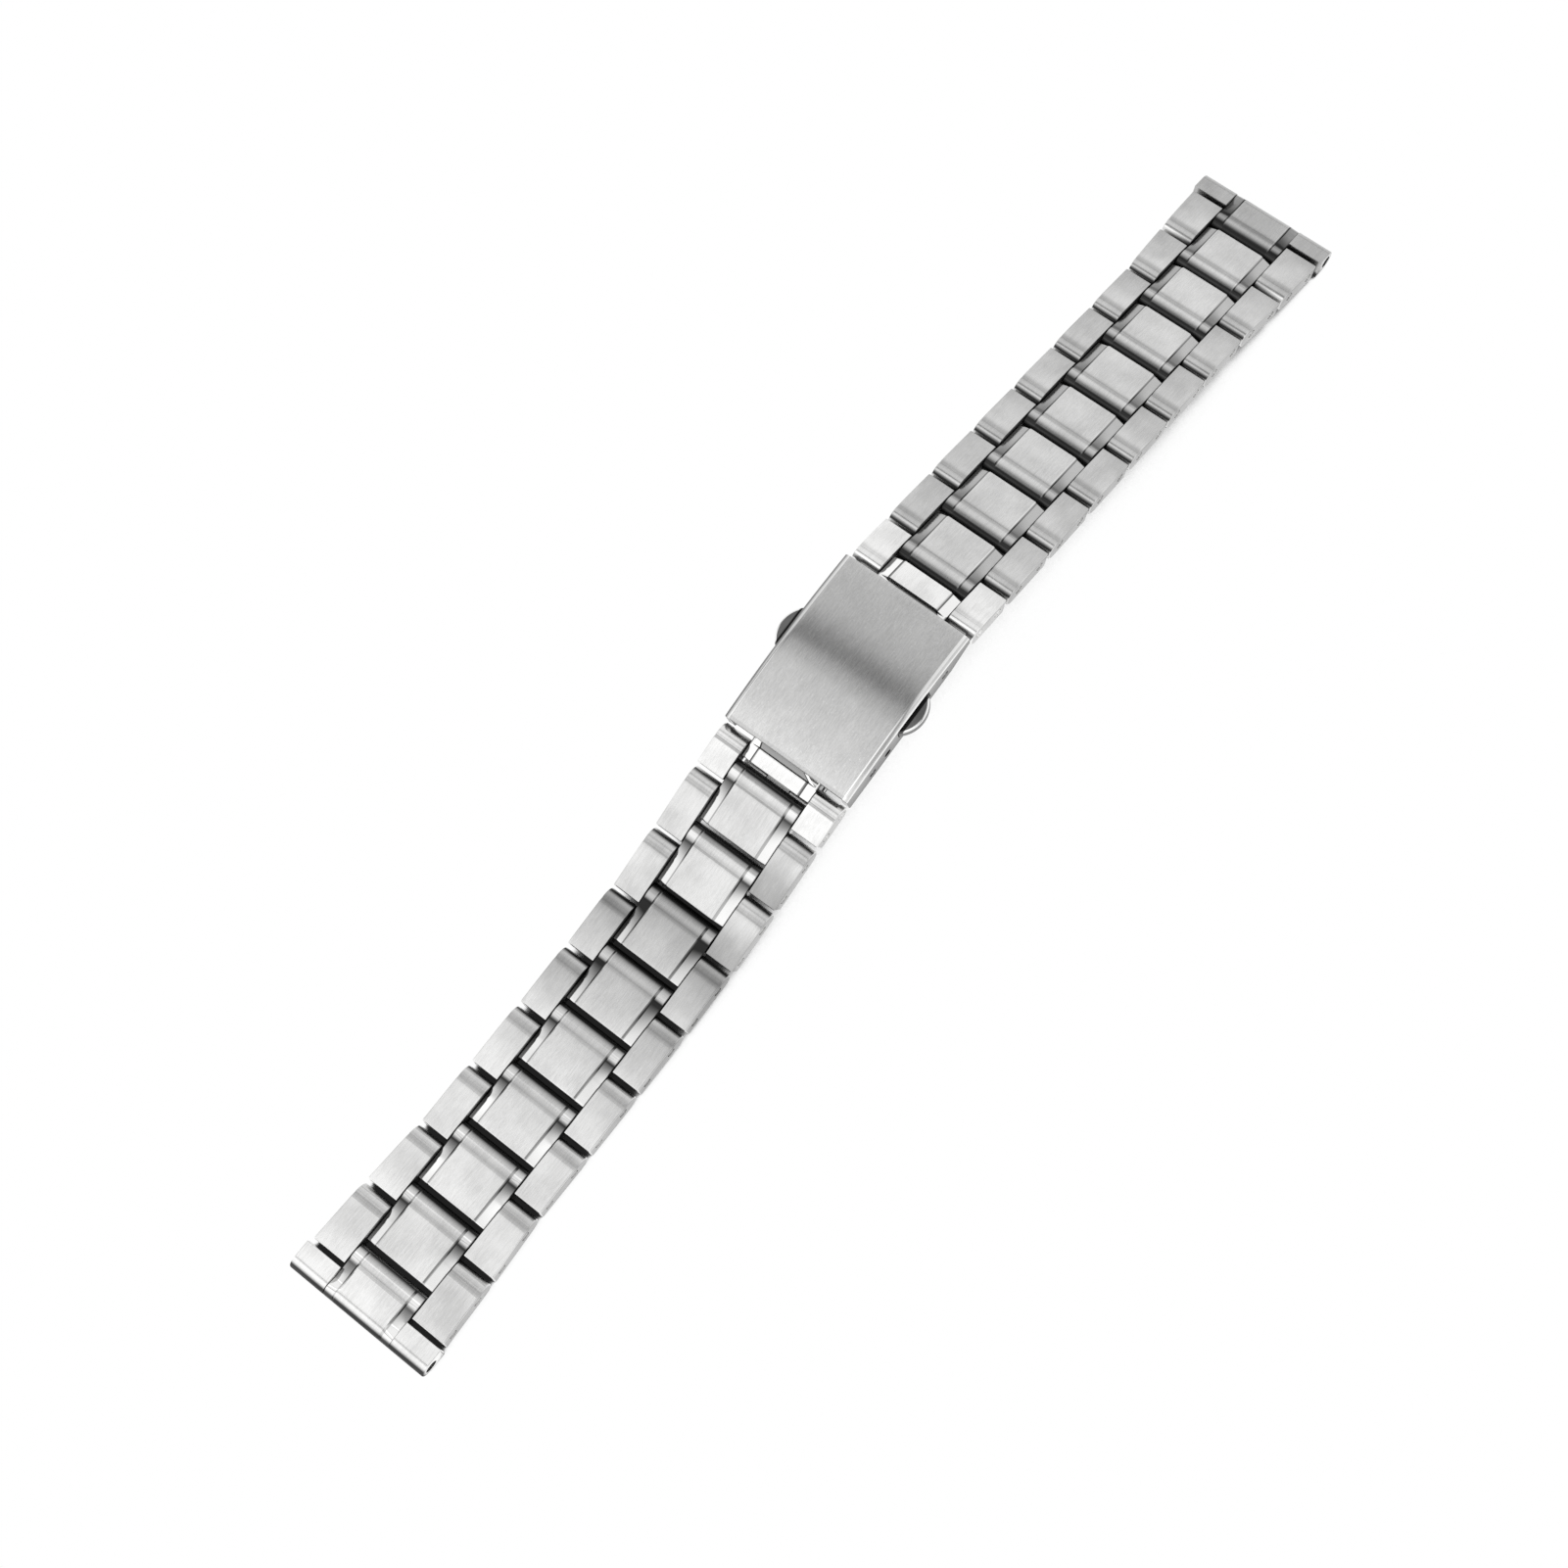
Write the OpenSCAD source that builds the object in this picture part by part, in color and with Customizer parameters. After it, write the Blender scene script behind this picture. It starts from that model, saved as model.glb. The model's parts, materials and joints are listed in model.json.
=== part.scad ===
// Steel watch bracelet with a double push-button folding clasp.
// X runs across the strap, +Y towards the twelve o'clock end, +Z up from the surface that it lies on.

/* [Strap] */
// Width of the running strap
strap_w = 16; // [14:0.5:17.5]
// Width across the end pieces, between the watch's lugs
lug_w = 18; // [17:0.5:22]
// Thickness of every link
link_t = 2.6; // [2.2:0.1:3.4]
// Length of one row, hinge to hinge
pitch = 8; // [7:0.1:10]
// Rows of side links in each half
rows = 9; // [7:1:10]
// Length of the side links beside the clasp, twelve half
first_len_12 = 6.35; // [5.6:0.05:7.55]
// Length of the side links beside the clasp, six half
first_len_6 = 5.15; // [5:0.05:7.55]
// Gap between links, end to end
link_gap = 0.45; // [0.3:0.05:0.8]
// Gap between a centre link and its side links
side_gap = 0.1; // [0.06:0.02:0.2]
// Width of the centre links
centre_w = 8.9; // [7:0.1:11]
// Width of the raised brushed pad on a centre link
pad_w = 6.1; // [4.5:0.1:7]
// Height of the step at the pad's edge
pad_step = 0.16; // [0.1:0.02:0.3]
// Fall of the polished strip beside the pad
strip_fall = 0.42; // [0.2:0.02:0.6]
// Distance from a hinge to the end of the tongue that it holds
tongue_reach = 1.4; // [1.2:0.05:1.6]
// Rounding of a link's outer end, seen from the side; its clasp-side end is fully rolled
end_round = 0.35; // [0.2:0.05:0.7]
// Bevel along a side link's outer edges
edge_bevel = 0.22; // [0.1:0.02:0.4]
// Length crown of the links' tops
crown_rise = 0.1; // [0.05:0.01:0.2]

/* [Link pins] */
// Radius of the hinge pins and the fixed pins
pin_r = 0.5; // [0.4:0.05:0.6]
// Running clearance round a hinge pin
hinge_fit = 0.04; // [0.02:0.01:0.08]
// Clearance of a pin in the link that holds it
held_fit = 0.02; // [0.01:0.01:0.03]
// How far a pin stops short of the strap's sides
pin_inset = 0.1; // [0.05:0.05:0.4]

/* [End pieces] */
// Length of the wings that meet the lugs
wing_len = 3.2; // [3:0.1:4]
// Radius of the hole for the watch's own spring bar
lug_bore_r = 0.75; // [0.6:0.05:0.8]
// How far the flared last row stays inside the wings, each side
flare_inset = 0.25; // [0:0.05:0.5]
// Share of the flare that is reached by the end of the second row
flare_share = 0.6; // [0.4:0.05:0.8]

/* [Clasp cover] */
// Length of the cover along the strap
cover_len = 21.5; // [21:0.5:26]
// How far the cover stands out beyond the strap, each side
cover_margin = 0.1; // [0:0.05:0.4]
// Thickness of the cover's top
cover_top_t = 0.8; // [0.6:0.05:1]
// Thickness of the cover's side walls
wall_t = 0.9; // [0.7:0.05:1.1]
// Radius of the cover's arch along the strap
arch_r = 70; // [55:1:90]
// Radius of the cover's crown across the strap
crown_r = 96; // [80:2:140]
// Width of the polished bevel along the cover's long edges
cover_bevel = 0.6; // [0.3:0.05:0.8]
// Depth of the side walls below the crest
wall_depth = 4.3; // [4.2:0.05:4.6]
// Place of the crest and the buttons, from the middle towards twelve
crest_y = 0.9; // [0.5:0.1:1.2]
// Depth of the wall's end at the twelve edge
wall_end_depth = 2.7; // [2.4:0.1:3.2]

/* [Adjustment holes and spring bar] */
// Distance of the first adjustment hole from the six edge
adjust_first = 4.3; // [4.2:0.1:4.6]
// Spacing of the adjustment holes
adjust_step = 2.6; // [2.4:0.05:2.9]
// Adjustment holes in each wall
adjust_count = 2; // [1:1:2]
// Radius of the spring bar's tips
tip_r = 0.4; // [0.35:0.05:0.5]
// Clearance of a tip in its hole
tip_fit = 0.08; // [0.05:0.01:0.12]
// Outer radius of the spring bar's tube
tube_r = 0.7; // [0.6:0.05:0.75]
// Wall of the spring bar's tube
tube_wall = 0.2; // [0.15:0.05:0.25]
// Depth of the spring bar and the strap pin below the crest
bar_depth = 2.9; // [2.85:0.05:3]
// Outer radius of the barrels on the spring bar and the strap pin
barrel_r = 1.05; // [1:0.05:1.1]

/* [Folding blades] */
// Width of the blades
blade_w = 9; // [8:0.5:10]
// Thickness of the short blade
short_t = 0.7; // [0.6:0.05:0.8]
// Thickness of the long blade
long_t = 0.8; // [0.7:0.05:0.85]
// Distance of the strap pin from the cover's twelve edge
strap_pin_in = 1.3; // [1.2:0.05:1.5]
// Depth of the strap pin below the crest
strap_pin_depth = 3.1; // [3:0.05:3.2]
// Place of the cover hinge, from the middle towards twelve
cover_hinge_y = 6.3; // [6.2:0.1:6.6]
// Depth of the cover hinge below the crest
cover_hinge_depth = 2.4; // [2.35:0.05:2.5]
// Outer radius of the cover hinge's barrel
cover_barrel_r = 1; // [0.9:0.05:1]
// How far the fold hinge lies beyond the cover's six edge
fold_out = 2.25; // [2:0.05:2.5]
// Depth of the fold hinge below the crest
fold_depth = 6.7; // [6.6:0.05:6.9]
// Outer radius of the fold hinge's knuckles
fold_r = 0.95; // [0.9:0.05:1]
// Gap between neighbouring knuckles
knuckle_gap = 0.15; // [0.1:0.05:0.25]
// Radius of the clasp's three pins
blade_pin_r = 0.5; // [0.4:0.05:0.5]

/* [Latch] */
// Length of a push button along the strap
button_len = 5.3; // [4.8:0.1:5.6]
// How far a button stands out of the wall
button_out = 1.25; // [1:0.05:1.5]
// Height of a button
button_h = 1.5; // [1.3:0.05:1.6]
// Travel of a button
button_travel = 0.8; // [0.6:0.05:0.8]
// Clearance round a button in its slot
slot_fit = 0.12; // [0.08:0.02:0.2]
// Depth of the buttons' middle below the crest
button_depth = 1.95; // [1.9:0.05:2]
// Radius of the catch post's head
post_head_r = 1.1; // [1:0.05:1.2]
// Radius of the catch post's neck
post_neck_r = 0.55; // [0.5:0.05:0.6]
// Bite of a jaw under the post's head
jaw_bite = 0.35; // [0.25:0.05:0.4]

/* [Rest pose] */
// Tilt of the clasp, its twelve edge up
clasp_tilt = 11.5; // [8:0.5:14]
// Slope of the six half's first row, beside the clasp
first_slope = 20; // [18:0.5:20]
// Slope of the second row from the clasp
second_slope = 24; // [20:0.5:26]
// Slope of the third row from the clasp
third_slope = 21; // [16:0.5:24]
// Slope of the fourth row from the clasp
fourth_slope = 9; // [8:0.5:12]
// Slope of the fifth row from the clasp
fifth_slope = 5; // [3:0.5:8]
// Slope of the sixth row from the clasp
sixth_slope = 3; // [1:0.5:4]
// Slope of the seventh row from the clasp
seventh_slope = 1; // [0:0.5:2]

/* [Hidden] */
$fn = 64;
steel = "silver";
polished = "gainsboro";
dark_steel = "dimgray";
// A hair's overlap between joined shapes, and the spare length of cutting shapes
cut = 0.01;
spare = 2;

// Row geometry, in a row's own frame: +Y outwards, away from the clasp, its clasp-side hinge at the origin
half_t = link_t / 2;
roll_r = half_t - 0.05;
flare = (lug_w - strap_w) / 2 - flare_inset;
side_start = tongue_reach + link_gap;
side_len = pitch - link_gap;
edge_gap = 0.3;
first_start_12 = strap_pin_in + edge_gap;
first_start_6 = adjust_first + edge_gap;
first_span_12 = first_start_12 + first_len_12 - tongue_reach;
first_span_6 = first_start_6 + first_len_6 - tongue_reach;
wing_end = side_start + wing_len;
lug_bore_y = wing_end - half_t;

// Places in the clasp's frame: the crest at z = 0, the cover's middle at y = 0
bar_y = -cover_len / 2 + adjust_first;
strap_pin_y = cover_len / 2 - strap_pin_in;
fold_y = -cover_len / 2 - fold_out;

function turned(p, a) = [p[0] * cos(a) - p[1] * sin(a), p[0] * sin(a) + p[1] * cos(a)];

// The six half falls from the clasp and then lies flat, row 0 being the end piece
falling = [first_slope, second_slope, third_slope, fourth_slope, fifth_slope, sixth_slope, seventh_slope];
function slope_of(k) = rows - k < len(falling) ? falling[rows - k] : 0;
function span_of(k, first_span) = k == rows ? first_span : pitch;
function chain_6(k) = k == rows
    ? turned([bar_y, -bar_depth], clasp_tilt)
    : chain_6(k + 1) - span_of(k + 1, first_span_6) * [cos(slope_of(k + 1)), sin(slope_of(k + 1))];
// The lowest point of a row, at the rounded outer end of its side links or wings
function row_low(k) =
    chain_6(k)[1] - (span_of(k, first_span_6) + tongue_reach - end_round) * sin(slope_of(k))
    - (half_t - end_round) * cos(slope_of(k)) - end_round;
lift = -min([for (k = [1:rows]) row_low(k)]);

// The twelve half is a straight ramp from the strap pin down to the surface
strap_pin_z = turned([strap_pin_y, -strap_pin_depth], clasp_tilt)[1] + lift;
ramp_len = first_span_12 + (rows - 1) * pitch + lug_bore_y;
ramp = asin((strap_pin_z - half_t) / ramp_len);
ramp_top = turned([strap_pin_y, -strap_pin_depth], clasp_tilt);

// The model's origin lies midway between the two ends
y_high = ramp_top[0] + ramp_len * cos(ramp) + half_t;
y_low = chain_6(0)[0] - wing_end;
shift = -(y_high + y_low) / 2;

function pivot_12(k) = [ramp_top[0] + shift, ramp_top[1] + lift]
    + (k == rows ? 0 : first_span_12 + (rows - 1 - k) * pitch) * [cos(ramp), -sin(ramp)];
function pivot_6(k) = chain_6(k) + [shift, lift];

module row_frame_12(k) {
    translate([0, pivot_12(k)[0], pivot_12(k)[1]]) rotate([-ramp, 0, 0]) children();
}

module row_frame_6(k) {
    translate([0, pivot_6(k)[0], pivot_6(k)[1]]) rotate([slope_of(k), 0, 0]) rotate([0, 0, 180]) children();
}

module row_frame(half, k) {
    if (half == "12") row_frame_12(k) children();
    if (half == "6") row_frame_6(k) children();
}

module clasp_frame() {
    translate([0, shift, lift]) rotate([clasp_tilt, 0, 0]) children();
}

// Helpers: a side outline across the strap, a section along it, and a round bar across it
module across(w) {
    rotate([90, 0, 90]) linear_extrude(height = w, center = true) children();
}

module along(y0, y1) {
    translate([0, y1, 0]) rotate([90, 0, 0]) linear_extrude(height = y1 - y0) children();
}

module cross_bar(r, len, y = 0, z = 0) {
    translate([-len / 2, y, z]) rotate([0, 90, 0]) cylinder(h = len, r = r);
}

module mirrored_pair() {
    children();
    mirror([1, 0, 0]) children();
}

module rounded_outline(y0, y1, r0, r1, bottom, top) {
    translate([y0 + r0, bottom]) square([y1 - y0 - r0 - r1, top - bottom]);
    translate([y0, bottom + r0]) square([r0 + cut, top - bottom - 2 * r0]);
    translate([y1 - r1 - cut, bottom + r1]) square([r1 + cut, top - bottom - 2 * r1]);
    for (z = [bottom + r0, top - r0]) translate([y0 + r0, z]) circle(r0);
    for (z = [bottom + r1, top - r1]) translate([y1 - r1, z]) circle(r1);
}

// The same outline under a long shallow crown
module crowned_outline(y0, y1, r0, r1) {
    half_len = (y1 - y0) / 2;
    crown = (half_len * half_len + crown_rise * crown_rise) / (2 * crown_rise);
    intersection() {
        rounded_outline(y0, y1, r0, r1, -half_t, half_t);
        translate([(y0 + y1) / 2, half_t - crown]) circle(crown, $fn = 240);
    }
}

// Section of a side link: outer edges bevelled
module side_section() {
    x0 = centre_w / 2 + side_gap;
    x1 = strap_w / 2 + flare;
    b = edge_bevel / 2;
    polygon([[x0, -half_t], [x1, -half_t], [x1, half_t], [x0 + b, half_t], [x0, half_t - b]]);
}

// Plan of a side link, straight, or flared over the last two rows
module side_plan(y0, y1, grow) {
    x0 = centre_w / 2 + side_gap;
    x1 = strap_w / 2;
    polygon([
        [x0, y0], [x1 + grow[0] - edge_bevel, y0 - cut], [x1 + grow[0], y0 + edge_bevel], [x1 + grow[1], y1],
        [x0, y1]
    ]);
}

// Section of a centre link: a raised pad between two falling strips
module centre_section() {
    w = centre_w;
    pad = pad_w / 2;
    polygon([
        [-w / 2, -half_t], [w / 2, -half_t], [w / 2, half_t - pad_step - strip_fall],
        [pad + pad_step / 2, half_t - pad_step], [pad, half_t], [-pad, half_t],
        [-pad - pad_step / 2, half_t - pad_step], [-w / 2, half_t - pad_step - strip_fall]
    ]);
}

// Two side links with the pin fixed in the centre link and the pin of the next hinge
module side_links(start, len, grow) {
    far = start + len;
    hinge_y = far - tongue_reach;
    fixed_y = fixed_pin_y(start, len);
    color(steel) mirrored_pair() difference() {
        intersection() {
            across(2 * lug_w) crowned_outline(start, far, roll_r, end_round);
            along(start - spare, far + spare) side_section();
            translate([0, 0, -link_t]) linear_extrude(height = 2 * link_t) side_plan(start, far, grow);
        }
        cross_bar(pin_r + held_fit, 2 * lug_w, hinge_y);
        cross_bar(pin_r + held_fit, 2 * lug_w, fixed_y);
    }
    color(polished) for (y = [hinge_y, fixed_y]) cross_bar(pin_r, strap_w - 2 * pin_inset, y);
}

// The fixed pin lies midway along the stretch that side links and centre link share
function fixed_pin_y(start, len) = start + (len - link_gap) / 2 - tongue_reach;

module centre_link() {
    far = pitch - tongue_reach - link_gap;
    color(steel) difference() {
        intersection() {
            across(2 * lug_w) crowned_outline(-tongue_reach, far, roll_r, end_round);
            along(-tongue_reach - spare, far + spare) centre_section();
        }
        cross_bar(pin_r + hinge_fit, 2 * lug_w);
        cross_bar(pin_r + held_fit, 2 * lug_w, fixed_pin_y(side_start, side_len));
    }
}

// The centre piece beside the clasp: a low tongue under the cover, with a barrel on the clasp's bar
neck_drop = 0.5;

module clasp_end_link(start, len, bore_r, barrel_len) {
    far = start + len - 2 * tongue_reach - link_gap;
    neck_top = half_t - neck_drop;
    color(steel) difference() {
        union() {
            intersection() {
                across(2 * lug_w) rounded_outline(start, far, end_round / 2, end_round, -half_t, half_t);
                along(start - spare, far + spare) centre_section();
            }
            across(centre_w) translate([0, -barrel_r]) square([start + end_round, barrel_r + neck_top]);
            cross_bar(barrel_r, barrel_len);
        }
        cross_bar(bore_r, 2 * lug_w);
        cross_bar(pin_r + held_fit, 2 * lug_w, fixed_pin_y(start, len));
    }
}

module clasp_end_link_12() {
    row_frame_12(rows) clasp_end_link(first_start_12, first_len_12, blade_pin_r + hinge_fit, centre_w);
}

module clasp_end_link_6() {
    barrel_len = inner_w - 4 * bar_side_gap;
    row_frame_6(rows) clasp_end_link(first_start_6, first_len_6, tube_r + hinge_fit, barrel_len);
}

// T-shaped end piece: a tongue in the last row and two wings that fill the lugs
module end_piece() {
    nose = half_t - cut;
    color(steel) difference() {
        union() {
            intersection() {
                across(lug_w) rounded_outline(-tongue_reach, wing_end, roll_r, nose, -half_t, half_t);
                along(-tongue_reach - spare, wing_end + spare) centre_section();
            }
            mirrored_pair() intersection() {
                across(lug_w) rounded_outline(side_start, wing_end, end_round, nose, -half_t, half_t);
                translate([centre_w / 2 - cut, side_start - spare, -half_t])
                    cube([lug_w / 2 - centre_w / 2 + cut, wing_len + 2 * spare, link_t]);
            }
        }
        cross_bar(pin_r + hinge_fit, 2 * lug_w);
        cross_bar(lug_bore_r, 2 * lug_w, lug_bore_y);
    }
}

// Clasp cover: an arched and crowned channel with two side walls
cover_w = strap_w + 2 * cover_margin;
inner_w = cover_w - 2 * wall_t;
wall_rise = 0.5;
bevel_lift = 0.05;

// How far a circle of radius r has fallen at a distance x from its top
function fall(r, x) = r - sqrt(r * r - x * x);

module cover_section() {
    edge = cover_w / 2;
    r_edge = arch_r - fall(crown_r, edge) + bevel_lift;
    r_bevel = r_edge - cover_bevel * 0.8;
    low = arch_r - wall_depth - spare;
    high = arch_r + spare;
    difference() {
        intersection() {
            translate([arch_r - crown_r, 0]) circle(crown_r, $fn = 360);
            polygon([
                [low, -edge], [r_bevel, -edge], [r_edge, cover_bevel - edge], [high, cover_bevel - edge],
                [high, edge - cover_bevel], [r_edge, edge - cover_bevel], [r_bevel, edge], [low, edge]
            ]);
        }
        intersection() {
            translate([arch_r - crown_r, 0]) circle(crown_r - cover_top_t, $fn = 360);
            translate([low - spare, -inner_w / 2]) square([wall_depth + 3 * spare, inner_w]);
        }
    }
}

// Side view of the space that the cover's walls fill
module cover_side() {
    e = cover_len / 2;
    taper_y = cover_hinge_y + cover_barrel_r;
    polygon([
        [-e, spare], [-e, -wall_depth], [taper_y, wall_rise - wall_depth], [e, -wall_end_depth], [e, spare]
    ]);
}

module clasp_cover() {
    sweep = 40;
    clasp_frame() color(steel) difference() {
        intersection() {
            translate([0, crest_y, -arch_r]) rotate(a = 180, v = [1, 0, 1]) rotate([0, 0, -sweep / 2])
                rotate_extrude(angle = sweep, $fn = 360) cover_section();
            across(2 * lug_w) cover_side();
        }
        for (i = [0:adjust_count - 1])
            cross_bar(tip_r + tip_fit, 2 * lug_w, bar_y + i * adjust_step, -bar_depth);
        cross_bar(blade_pin_r + held_fit, 2 * lug_w, cover_hinge_y, -cover_hinge_depth);
        translate([-lug_w, crest_y - button_len / 2 - slot_fit, -button_depth - button_h / 2 - slot_fit])
            cube([2 * lug_w, button_len + 2 * slot_fit, button_h + 2 * slot_fit]);
        mirrored_pair() translate([screw_x, crest_y, -housing_top])
            cylinder(h = screw_tip, r = screw_r + held_fit);
    }
}

// Latch housing: a plate under the cover, open for the post, with a seat for each button spring
screw_x = 4.1;
screw_r = 0.45;
screw_head_r = 0.75;
screw_head_t = 0.25;
screw_in = 0.4;
housing_gap = 0.05;
plate_t = 0.3;
plate_half_w = 4.8;
plate_len = 4.4;
// Depth of the plate's top under the crowned and arched cover, and the way up to a screw's blind end
under_fall = fall(crown_r - cover_top_t, plate_half_w) + fall(arch_r, plate_len / 2);
housing_top = cover_top_t + under_fall + housing_gap;
screw_tip = housing_top - cover_top_t + screw_in;

module latch_housing() {
    clasp_frame() color(steel) difference() {
        union() {
            translate([-plate_half_w, crest_y - plate_len / 2, -housing_top - plate_t])
                cube([2 * plate_half_w, plate_len, plate_t]);
            spring_seats();
        }
        mirrored_pair() translate([screw_x, crest_y, -housing_top - plate_t - cut])
            cylinder(h = plate_t + 2 * cut, r = screw_r + held_fit);
        translate([0, crest_y, -housing_top - plate_t - cut])
            cylinder(h = plate_t + 2 * cut, r = post_head_r + post_room);
    }
}

module spring_seats() {
    seat_low = button_depth + spring_r;
    for (turn = [0, 180]) translate([0, crest_y, 0]) rotate([0, 0, turn])
        translate([-seat_x - seat_t, -arm_y - seat_half, -seat_low])
            cube([seat_t, 2 * seat_half, seat_low - housing_top]);
}

module housing_screws() {
    under = housing_top + plate_t;
    clasp_frame() color(polished) mirrored_pair() translate([screw_x, crest_y, -under]) {
        translate([0, 0, -screw_head_t]) cylinder(h = screw_head_t, r = screw_head_r);
        translate([0, 0, -cut]) cylinder(h = plate_t + screw_tip - housing_gap, r = screw_r);
    }
}

// Push buttons: a bow-shaped head, a guide plate inside the wall, and an arm whose jaw bites behind the post
jaw_t = 0.85;
arm_y = 1.6;
arm_half = 0.45;
guide_t = 1;
guide_gap = 0.2;
guide_x = inner_w / 2 - guide_gap;
jaw_h = 0.7;
jaw_play = 0.2;
post_room = 0.25;

module button_head_plan() {
    half_len = button_len / 2;
    bow_r = (half_len * half_len + button_out * button_out) / (2 * button_out);
    intersection() {
        translate([-cover_w / 2 - button_out + bow_r, 0]) circle(bow_r, $fn = 120);
        translate([-cover_w / 2 - button_out - spare, -half_len])
            square([button_out + spare + cut, button_len]);
    }
}

module push_button() {
    half_len = button_len / 2;
    jaw_x = post_head_r - jaw_bite;
    translate([0, crest_y, -button_depth]) {
        translate([0, 0, -button_h / 2]) linear_extrude(height = button_h) {
            button_head_plan();
            translate([-cover_w / 2, -half_len]) square([cover_w / 2 - guide_x + guide_t, button_len]);
        }
        translate([0, 0, -jaw_h / 2]) linear_extrude(height = jaw_h) {
            translate([-guide_x, arm_y - arm_half]) square([guide_x + jaw_x + jaw_t, 2 * arm_half]);
            translate([jaw_x, -post_neck_r]) square([jaw_t, post_neck_r + arm_y + arm_half]);
        }
    }
}

module push_button_left() {
    clasp_frame() color(dark_steel) push_button();
}

module push_button_right() {
    clasp_frame() color(dark_steel) translate([0, 2 * crest_y, 0]) rotate([0, 0, 180]) push_button();
}

// A wire coil along X, swept as one closed tube
spring_r = 0.5;
spring_wire = 0.11;
spring_turns = 4;
seat_x = 3.1;
seat_t = 0.6;
seat_half = 0.55;
wire_sides = 6;
turn_rings = 8;

module coil(len, r, wire, turns) {
    rings = turns * turn_rings;
    rise = len - 2 * wire;
    points = [for (i = [0:rings]) for (j = [0:wire_sides - 1])
        let (a = 360 * i / turn_rings, b = 360 * j / wire_sides, reach = r + wire * cos(b))
        [wire + rise * i / rings + wire * sin(b), reach * cos(a), reach * sin(a)]];
    walls = [for (i = [0:rings - 1]) for (j = [0:wire_sides - 1])
        let (a = i * wire_sides + j, b = i * wire_sides + (j + 1) % wire_sides)
        each [[a, a + wire_sides, b], [b, a + wire_sides, b + wire_sides]]];
    first = [[for (j = [0:wire_sides - 1]) j]];
    last = [[for (j = [wire_sides - 1:-1:0]) rings * wire_sides + j]];
    polyhedron(points = points, faces = concat(first, walls, last), convexity = 10);
}

// The least gap between neighbouring turns, printed for the maker
spring_len = guide_x - guide_t - seat_x - seat_t;
echo(button_spring_gap = (spring_len - 2 * spring_wire) / spring_turns - 2 * spring_wire);

module button_spring() {
    spring_play = 0.02;
    translate([-guide_x + guide_t + spring_play, crest_y - arm_y, -button_depth])
        coil(spring_len - 2 * spring_play, spring_r - spring_wire, spring_wire, spring_turns);
}

module button_spring_left() {
    clasp_frame() color(polished) button_spring();
}

module button_spring_right() {
    clasp_frame() color(polished) translate([0, 2 * crest_y, 0]) rotate([0, 0, 180]) button_spring();
}

// Blades, drawn from the side as bent plates between their barrels, with mitred bends
function normal_of(a, b) = [a[1] - b[1], b[0] - a[0]] / norm(b - a);
function edge_offset(points, i) =
    let (
        last = len(points) - 1,
        before = normal_of(points[max(i - 1, 0)], points[max(i, 1)]),
        after = normal_of(points[min(i, last - 1)], points[min(i + 1, last)])
    )
    (before + after) / (1 + before * after);

module bent_plate(points, t) {
    last = len(points) - 1;
    edge = [for (i = [0:last]) edge_offset(points, i) * t / 2];
    polygon(concat(points + edge, [for (i = [last:-1:0]) points[i] - edge[i]]));
}

blade_gap = 0.3;
// How far before the cover hinge the short blade bends, and how far past it the long one does
short_lead = 1.4;
long_lead = 0.6;
plate_drop = 0.05;
short_low = cover_hinge_depth + cover_barrel_r + plate_drop;
short_start = [cover_hinge_y - short_lead, short_t / 2 - short_low];
short_end = [fold_y, -fold_depth + fold_r - short_t / 2];
long_start = [fold_y, -fold_depth - fold_r + long_t / 2];
long_bend = [cover_hinge_y + long_lead, -short_low - blade_gap - long_t / 2];
long_end = [strap_pin_y, -strap_pin_depth - barrel_r + long_t / 2];
// The short blade's window, through which the post and the jaws meet
window_w = 5;
window_len = 6.6;
knuckle_w = (blade_w - 2 * knuckle_gap) / 3;
hinge_side_gap = 0.2;
// Length of the long blade's wide head, and the room round the first link's barrel
head_len = 1.6;
head_start = long_end - [head_len, 0];
barrel_room = 0.2;

module blade_short() {
    clasp_frame() color(polished) difference() {
        union() {
            across(blade_w) bent_plate([[cover_hinge_y, short_start[1]], short_start, short_end], short_t);
            cross_bar(cover_barrel_r, inner_w - 2 * hinge_side_gap, cover_hinge_y, -cover_hinge_depth);
            cross_bar(fold_r, blade_w, fold_y, -fold_depth);
        }
        mirrored_pair() translate([knuckle_w / 2, fold_y - spare, -fold_depth - spare])
            cube([blade_w, spare + fold_r + knuckle_gap, 2 * spare]);
        translate([-window_w / 2, crest_y - window_len / 2, -fold_depth])
            cube([window_w, window_len, fold_depth]);
        cross_bar(blade_pin_r + hinge_fit, 2 * lug_w, cover_hinge_y, -cover_hinge_depth);
        cross_bar(blade_pin_r + hinge_fit, 2 * lug_w, fold_y, -fold_depth);
    }
}

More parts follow.
